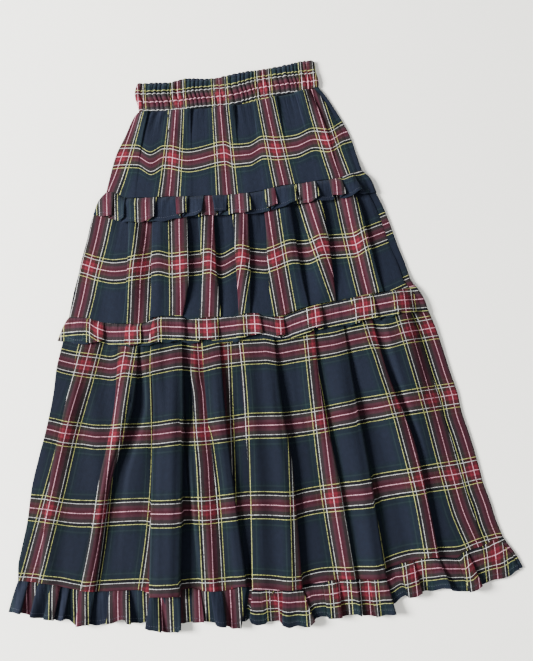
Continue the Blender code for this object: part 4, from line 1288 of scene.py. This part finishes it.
# Upper tier
upperSides = mm((
    ((-159.5, 809), (-176, 775), (-191, 746), (-201.5, 713)),
    ((160, 826.5), (178, 793), (190.5, 765), (196.5, 747), (203, 719)),
))
upperPink = SmoothLine(mm((
    (-210, 741), (-184, 742), (-156, 740), (-135, 727.5), (-113, 737), (-73, 728), (-13, 737),
    (0, 731.5), (25, 732), (50, 742), (74, 739), (104, 741), (135, 751), (157, 747), (184, 760),
    (205, 765))))
groupMiddles = (mm(((-153, -89, -16, 59, 137), (-205, -107, -13, 80, 171.5))))


def upperPattern(x, y, depth):
    # the groups of stripes fan out from the gathered waist
    middles = [high + (low - high) * depth for high, low in zip(*groupMiddles)]
    places = [2 * middles[0] - middles[1], *middles, 2 * middles[4] - middles[3]]
    s = np.zeros_like(x)
    for k in range(6):
        inside = (x >= places[k] if k else True) & (x < places[k + 1] if k < 5 else True)
        share = (x - places[k]) / (places[k + 1] - places[k])
        s = np.where(inside, (k - 1 + share) * tartan["repeatAcross"], s)
    return s, upperPink.at(x) - y


upperTier = {
    "flat": (0.42, 0.15),
    # painted shade: darkens the upper tier's whole cloth a little
    "tone": 0.95,
    "rows": rowsOf(44),
    "span": 0.0027,
    "roll": 3.0,
    "inset": 0.008,
    "seed": 17,
    "gathers": (0.0030, 0.0070, 0.16),
    "height": along((0, 0.0030), (0.3, 0.0040), (1, 0.0030)),
    "backHeight": 0.0012,
    "backLevel": levels((0.0, "backWaist"), (0.2, "floor")),
    "frontLevel": levels((0.0, "frontWaist"), (0.25, "front"), (0.75, "front"),
                         (1.0, "ruffleSeam")),
    "style": {"sag": 0.2, "crest": 0.007, "plump": 0.18, "curl": 0.010},
    "pattern": upperPattern,
    "down": lambda x, y, depth: upperPink.at(x) - y,
    "folds": tierFolds(
        (-134, -145, -154, -162, 8, 2, 0.1, 0.02, 1),
        (-102, -103, -106, -110, 11, 6, 0.4, 0.02, -1),
        (-64, -66, -68, -70, 6, 0.4, 0.02, 0.02, 1),
        (-28, -29, -30, -31, 7, 0.5, 0.02, 0.02, -1),
        (8, 9, 10, 11, 6, 0.4, 0.02, 0.02, 1),
        (38, 41, 44, 47, 6, 0.6, 0.02, 0.02, -1),
        (78, 84, 89, 94, 7, 0.8, 0.02, 0.02, 1),
        (108, 118, 127, 134, 6, 0.5, 0.02, 0.02, -1),
        (131, 150, 162, 171, 7, 4, 0.6, 0.02, 1),
    ),
    "shifts": groupsAt(*[0] * 10),
}
upperTier["backFolds"] = backFolds(upperTier["folds"], 0.8)
upperGround = Ground(casingSeam, upperSeam, *upperSides, topGap=seamGap, footGap=seamGap)
sewFront("upper_tier_front", upperGround, upperTier)
sewBack("upper_tier_back", upperGround, upperTier)
print("upper tier sewn")

# Waistband: the casing, gathered over its elastic
waistband = {
    "rows": (22, 1.3),
    "turnPoints": 9,
    "ridgeWidths": (0.65, 0.7),  # the least, and how far they vary
    "ridgeHeights": (0.55, 0.45),
    "ridgeRound": 0.6,  # below 1, a ridge is rounder than a sine
    "ridgeLevel": 0.35,  # height of a ridge that leaves the cloth where it is
    "reliefAtEdge": 0.35,  # share of the ridges' height left at both edges
    "underFullness": 0.3,  # of the underside, against the face
    "underRelief": 0.25,
    "gathers": 38,
    "gatherHeight": 0.0027,
    "scallop": 0.0016,
    "fullness": 0.0011,  # how far the casing swells between its edges
    "frontMiddle": 0.0041,
    "backMiddle": 0.0012,
    "thickness": 0.0016,
    "inset": 0.008,
    "points": 380,
    "waver": 0.004,  # how far a gather leans on its way down, as a share of the width
    "lineWave": 0.0012,  # how far the pattern moves up over a gather
    "groups": mm((-151, -85, -15.5, 58, 132, 206)),
    "leftSqueeze": 1.3,  # how closely the pattern follows itself left of the first group
    "stitchRows": (0.08, 0.93),
    "flat": (0.42, 0.05),
}
waistSides = mm((
    ((-155.6, 845), (-152, 830)),
    ((146, 869.5), (148, 854)),
))
waistPink = SmoothLine(mm((
    (-153, 835), (-102.5, 832.5), (-50, 835), (0, 836.5), (19, 839.5), (50, 846.5), (100, 850.5),
    (144, 852.5))))


class Gathers:
    # ridges of uneven width and height along the elastic
    def __init__(self, seed, count):
        random = np.random.default_rng(seed)
        least, spread = waistband["ridgeWidths"]
        widths = least + spread * random.random(count)
        self.edges = np.concatenate([[0.0], np.cumsum(widths)]) / widths.sum()
        least, spread = waistband["ridgeHeights"]
        self.heights = least + spread * random.random(count)

    def at(self, share):
        share = np.clip(share, 0.0, 0.99999)
        k = np.searchsorted(self.edges, share, side="right") - 1
        u = (share - self.edges[k]) / (self.edges[k + 1] - self.edges[k])
        return np.sin(math.pi * u) ** waistband["ridgeRound"] * self.heights[k]


casingGathers = Gathers(7, waistband["gathers"])
waistGround = Ground(waistEdge, casingSeam, *waistSides, footGap=seamGap)


def sewWaistband(name, isFront):
    rows = []
    low, high, inset = waistband["backMiddle"], waistband["frontMiddle"], waistband["inset"]
    for depth in rowsOf(*waistband["rows"]):
        left, right = waistGround.side(0, depth), waistGround.side(-1, depth)
        # the strip on the far side, the turn round the side, and the near side
        if isFront:
            turnX, turnZ = sideTurn(left, low, high, -1, waistband["turnPoints"])
            ends, levels = (left + inset, right - inset), (low, high)
        else:
            turnX, turnZ = (turn[::-1] for turn
                            in sideTurn(right, low, high, 1, waistband["turnPoints"]))
            ends, levels = (right - inset + cloth["gap"], left + inset + cloth["gap"]), (high, low)
        strip = np.linspace(ends[0], turnX[0], 5)[:-1]
        rest = np.linspace(turnX[-1], ends[1], waistband["points"])[1:]
        x = np.concatenate([strip, turnX, rest])
        z = np.concatenate([np.full(4, levels[0]), turnZ, np.full(len(rest), levels[1])])
        zeros = np.zeros(len(x))
        y = waistGround.y(x, depth, zeros, zeros)
        share = (x - left) / (right - left) + waistband["waver"] * math.sin(5 * depth + 1)
        ridge = casingGathers.at(share if isFront else 1 - share)
        y += waistband["scallop"] * (ridge - 0.5) * (1 - depth) ** 3
        rows.append((x, y, z, ridge, zeros + depth))
    x, y, z, ridge, depth = (np.array([row[i] for row in rows]) for i in range(5))
    edge = np.clip(1 - np.abs(2 * depth - 1) ** 3, 0.0, 1.0) ** 0.5
    upward = (z - low) / (high - low)
    height, atEdge = waistband["gatherHeight"], waistband["reliefAtEdge"]
    body = waistband["fullness"] * edge * np.where(upward > 0.5, 1.0, waistband["underFullness"])
    relief = height * (ridge - waistband["ridgeLevel"]) * (atEdge + (1 - atEdge) * edge)
    under = -waistband["underRelief"] * height * (1 - ridge)
    outward = body + np.where(upward > 0.5, relief, under)
    groups = waistband["groups"]
    s = np.interp(x, groups, np.arange(6) * tartan["repeatAcross"])
    s += (x < groups[0]) * (x - groups[0]) * waistband["leftSqueeze"]
    v = waistPink.at(x) - y + waistband["lineWave"] * (ridge - 0.5)
    piece = shellMesh(name, x, y, z, s, v, np.full_like(x, 0.5), thickness=waistband["thickness"],
                      outward=outward)
    if isFront:
        face = z + outward + (waistband["thickness"] - cloth["thickness"]) / 2
        for share in waistband["stitchRows"]:
            stitchPaths.append(visiblePath(x, y, face, depth, share, upward))
    finishPiece(piece, name)


sewWaistband("waistband_front", True)
sewWaistband("waistband_back", False)
print("waistband sewn")

# Stitches along the casing and the narrow hems of the ruffles
stitches = {
    "pitch": 0.0032,
    "length": 0.0022,
    "radius": 0.00028,
    "thread": linear(52, 55, 72),
}


def threadMaterial():
    material, n = newMaterial("darkThread")
    twist = n.noise(n.add("ShaderNodeTexCoord", output=3), 2600.0, 2.0, 0.5, "3D")
    deep, pale = (tuple(c * share for c in stitches["thread"]) for share in (0.45, 1.1))
    bump = n.add("ShaderNodeBump", {}, {"Strength": 0.5, "Distance": 0.0002, "Height": twist})
    n.surface({"Base Color": n.mix(twist, (*deep, 1), pale), "Roughness": 0.6,
               "Sheen Weight": 0.02, "Normal": bump})
    return material


class GeometryTree(Nodes):
    # a tree of geometry nodes with named inputs
    def __init__(self, name):
        super().__init__(bpy.data.node_groups.new(name, "GeometryNodeTree"))
        for way in ("INPUT", "OUTPUT"):
            self.tree.interface.new_socket("Geometry", in_out=way, socket_type="NodeSocketGeometry")
        self.start = self.tree.nodes.new("NodeGroupInput")
        self.keys = {}

    def given(self, name):
        if name != "Geometry":
            made = self.tree.interface.new_socket(name, in_out="INPUT",
                                                  socket_type="NodeSocketFloat")
            self.keys[name] = made.identifier
        return Value(self, self.start.outputs[name])


def sewStitches(name, runs, material):
    edges, count = [], 0
    for run in runs:
        edges += [(count + k, count + k + 1) for k in range(len(run) - 1)]
        count += len(run)
    mesh = bpy.data.meshes.new(name)
    mesh.from_pydata([point for run in runs for point in run], edges, [])
    rows = bpy.data.objects.new(name, mesh)
    bpy.context.collection.objects.link(rows)

    g = GeometryTree("stitchRows")
    pitch, length, radius = (g.given(title) for title in ("Pitch", "Length", "Radius"))
    curve = g.add("GeometryNodeMeshToCurve", {}, {0: g.given("Geometry")})
    spaced = g.add("GeometryNodeResampleCurve", {"mode": "LENGTH"},
                   {"Curve": curve, "Length": pitch})
    shape = g.add("ShaderNodeCombineXYZ", {}, {0: radius, 1: radius, 2: length * 0.5})
    bead = g.add("GeometryNodeMeshUVSphere", {}, {"Segments": 6, "Rings": 5, "Radius": 1.0})
    stitch = g.add("GeometryNodeTransform", {}, {"Geometry": bead, "Scale": shape})
    turned = g.add("FunctionNodeAlignRotationToVector", {"axis": "Z"},
                   {"Vector": g.add("GeometryNodeInputTangent")})
    placed = g.add("GeometryNodeInstanceOnPoints", {},
                   {"Points": spaced, "Instance": stitch, "Rotation": turned})
    real = g.add("GeometryNodeRealizeInstances", {}, {0: placed})
    done = g.add("GeometryNodeSetMaterial", {}, {"Geometry": real, "Material": material})
    g.add("NodeGroupOutput", {}, {0: done})

    modifier = rows.modifiers.new("stitchRows", "NODES")
    modifier.node_group = g.tree
    for title, key in (("Pitch", "pitch"), ("Length", "length"), ("Radius", "radius")):
        modifier[g.keys[title]] = stitches[key]
    bpy.context.view_layer.update()
    evaluated = rows.evaluated_get(bpy.context.evaluated_depsgraph_get())
    sewn = bpy.data.meshes.new_from_object(evaluated)
    rows.modifiers.clear()
    rows.data = sewn
    sewn.shade_smooth()
    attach(rows, "root")
    print(f"{name}: {sum(len(p.vertices) - 2 for p in sewn.polygons)} triangles")


sewStitches("rows_of_stitches", [run for path in stitchPaths for run in path], threadMaterial())

# Floor, light and camera
studio = {
    "floor": linear(251, 249, 240),
    "floorHalf": 4.0,
    "keyPlace": (-4.0, 0.5, 2.3),
    "keySize": 1.5,
    "keyPower": 1200.0,
    "fillPlace": (1.0, -2.4, 2.0),
    "fillSize": 2.2,
    "fillPower": 50.0,
    "world": (0.95, 0.97, 1.0, 1),
    "worldStrength": 0.52,
    "lens": 39.2,
    "cameraPlace": (0.01396, -0.17144, 1.130),
    "cameraTurn": (8.5, 0.0, -3.79),
}


def floorMaterial():
    material, n = newMaterial("paleFloor")
    grain = n.noise(n.add("ShaderNodeTexCoord", output=3), 6.0, 4.0, 0.5, "3D")
    tone = n.mix(grain, (*[c * 0.97 for c in studio["floor"]], 1), studio["floor"])
    n.surface({"Base Color": tone, "Roughness": 0.85, "Specular IOR Level": 0.2})
    return material


def placeObject(name, data):
    made = bpy.data.objects.new(name, data)
    bpy.context.collection.objects.link(made)
    return made


def makeStudio():
    floorMesh = bpy.data.meshes.new("floor")
    half = studio["floorHalf"]
    corners = [(-half, -half, 0), (half, -half, 0), (half, half, 0), (-half, half, 0)]
    floorMesh.from_pydata(corners, [], [(0, 1, 2, 3)])
    floorMesh.materials.append(floorMaterial())
    placeObject("floor", floorMesh)
    for name in ("key", "fill"):
        place, size, power = (studio[name + part] for part in ("Place", "Size", "Power"))
        light = bpy.data.lights.new(name + "Light", "AREA")
        light.size, light.energy = size, power
        lamp = placeObject(name + "Light", light)
        lamp.location = place
        direction = np.array(place) / np.linalg.norm(place)
        lamp.rotation_euler = (math.acos(direction[2]), 0, math.atan2(direction[0], -direction[1]))
    world = bpy.data.worlds.new("studioWorld")
    world.use_nodes = True
    background = world.node_tree.nodes["Background"]
    background.inputs["Color"].default_value = studio["world"]
    background.inputs["Strength"].default_value = studio["worldStrength"]
    bpy.context.scene.world = world
    view = bpy.data.cameras.new("camera")
    view.lens, view.sensor_width = studio["lens"], 36.0
    camera = placeObject("camera", view)
    camera.location = studio["cameraPlace"]
    camera.rotation_euler = [math.radians(angle) for angle in studio["cameraTurn"]]
    bpy.context.scene.camera = camera


makeStudio()
print("studio ready")
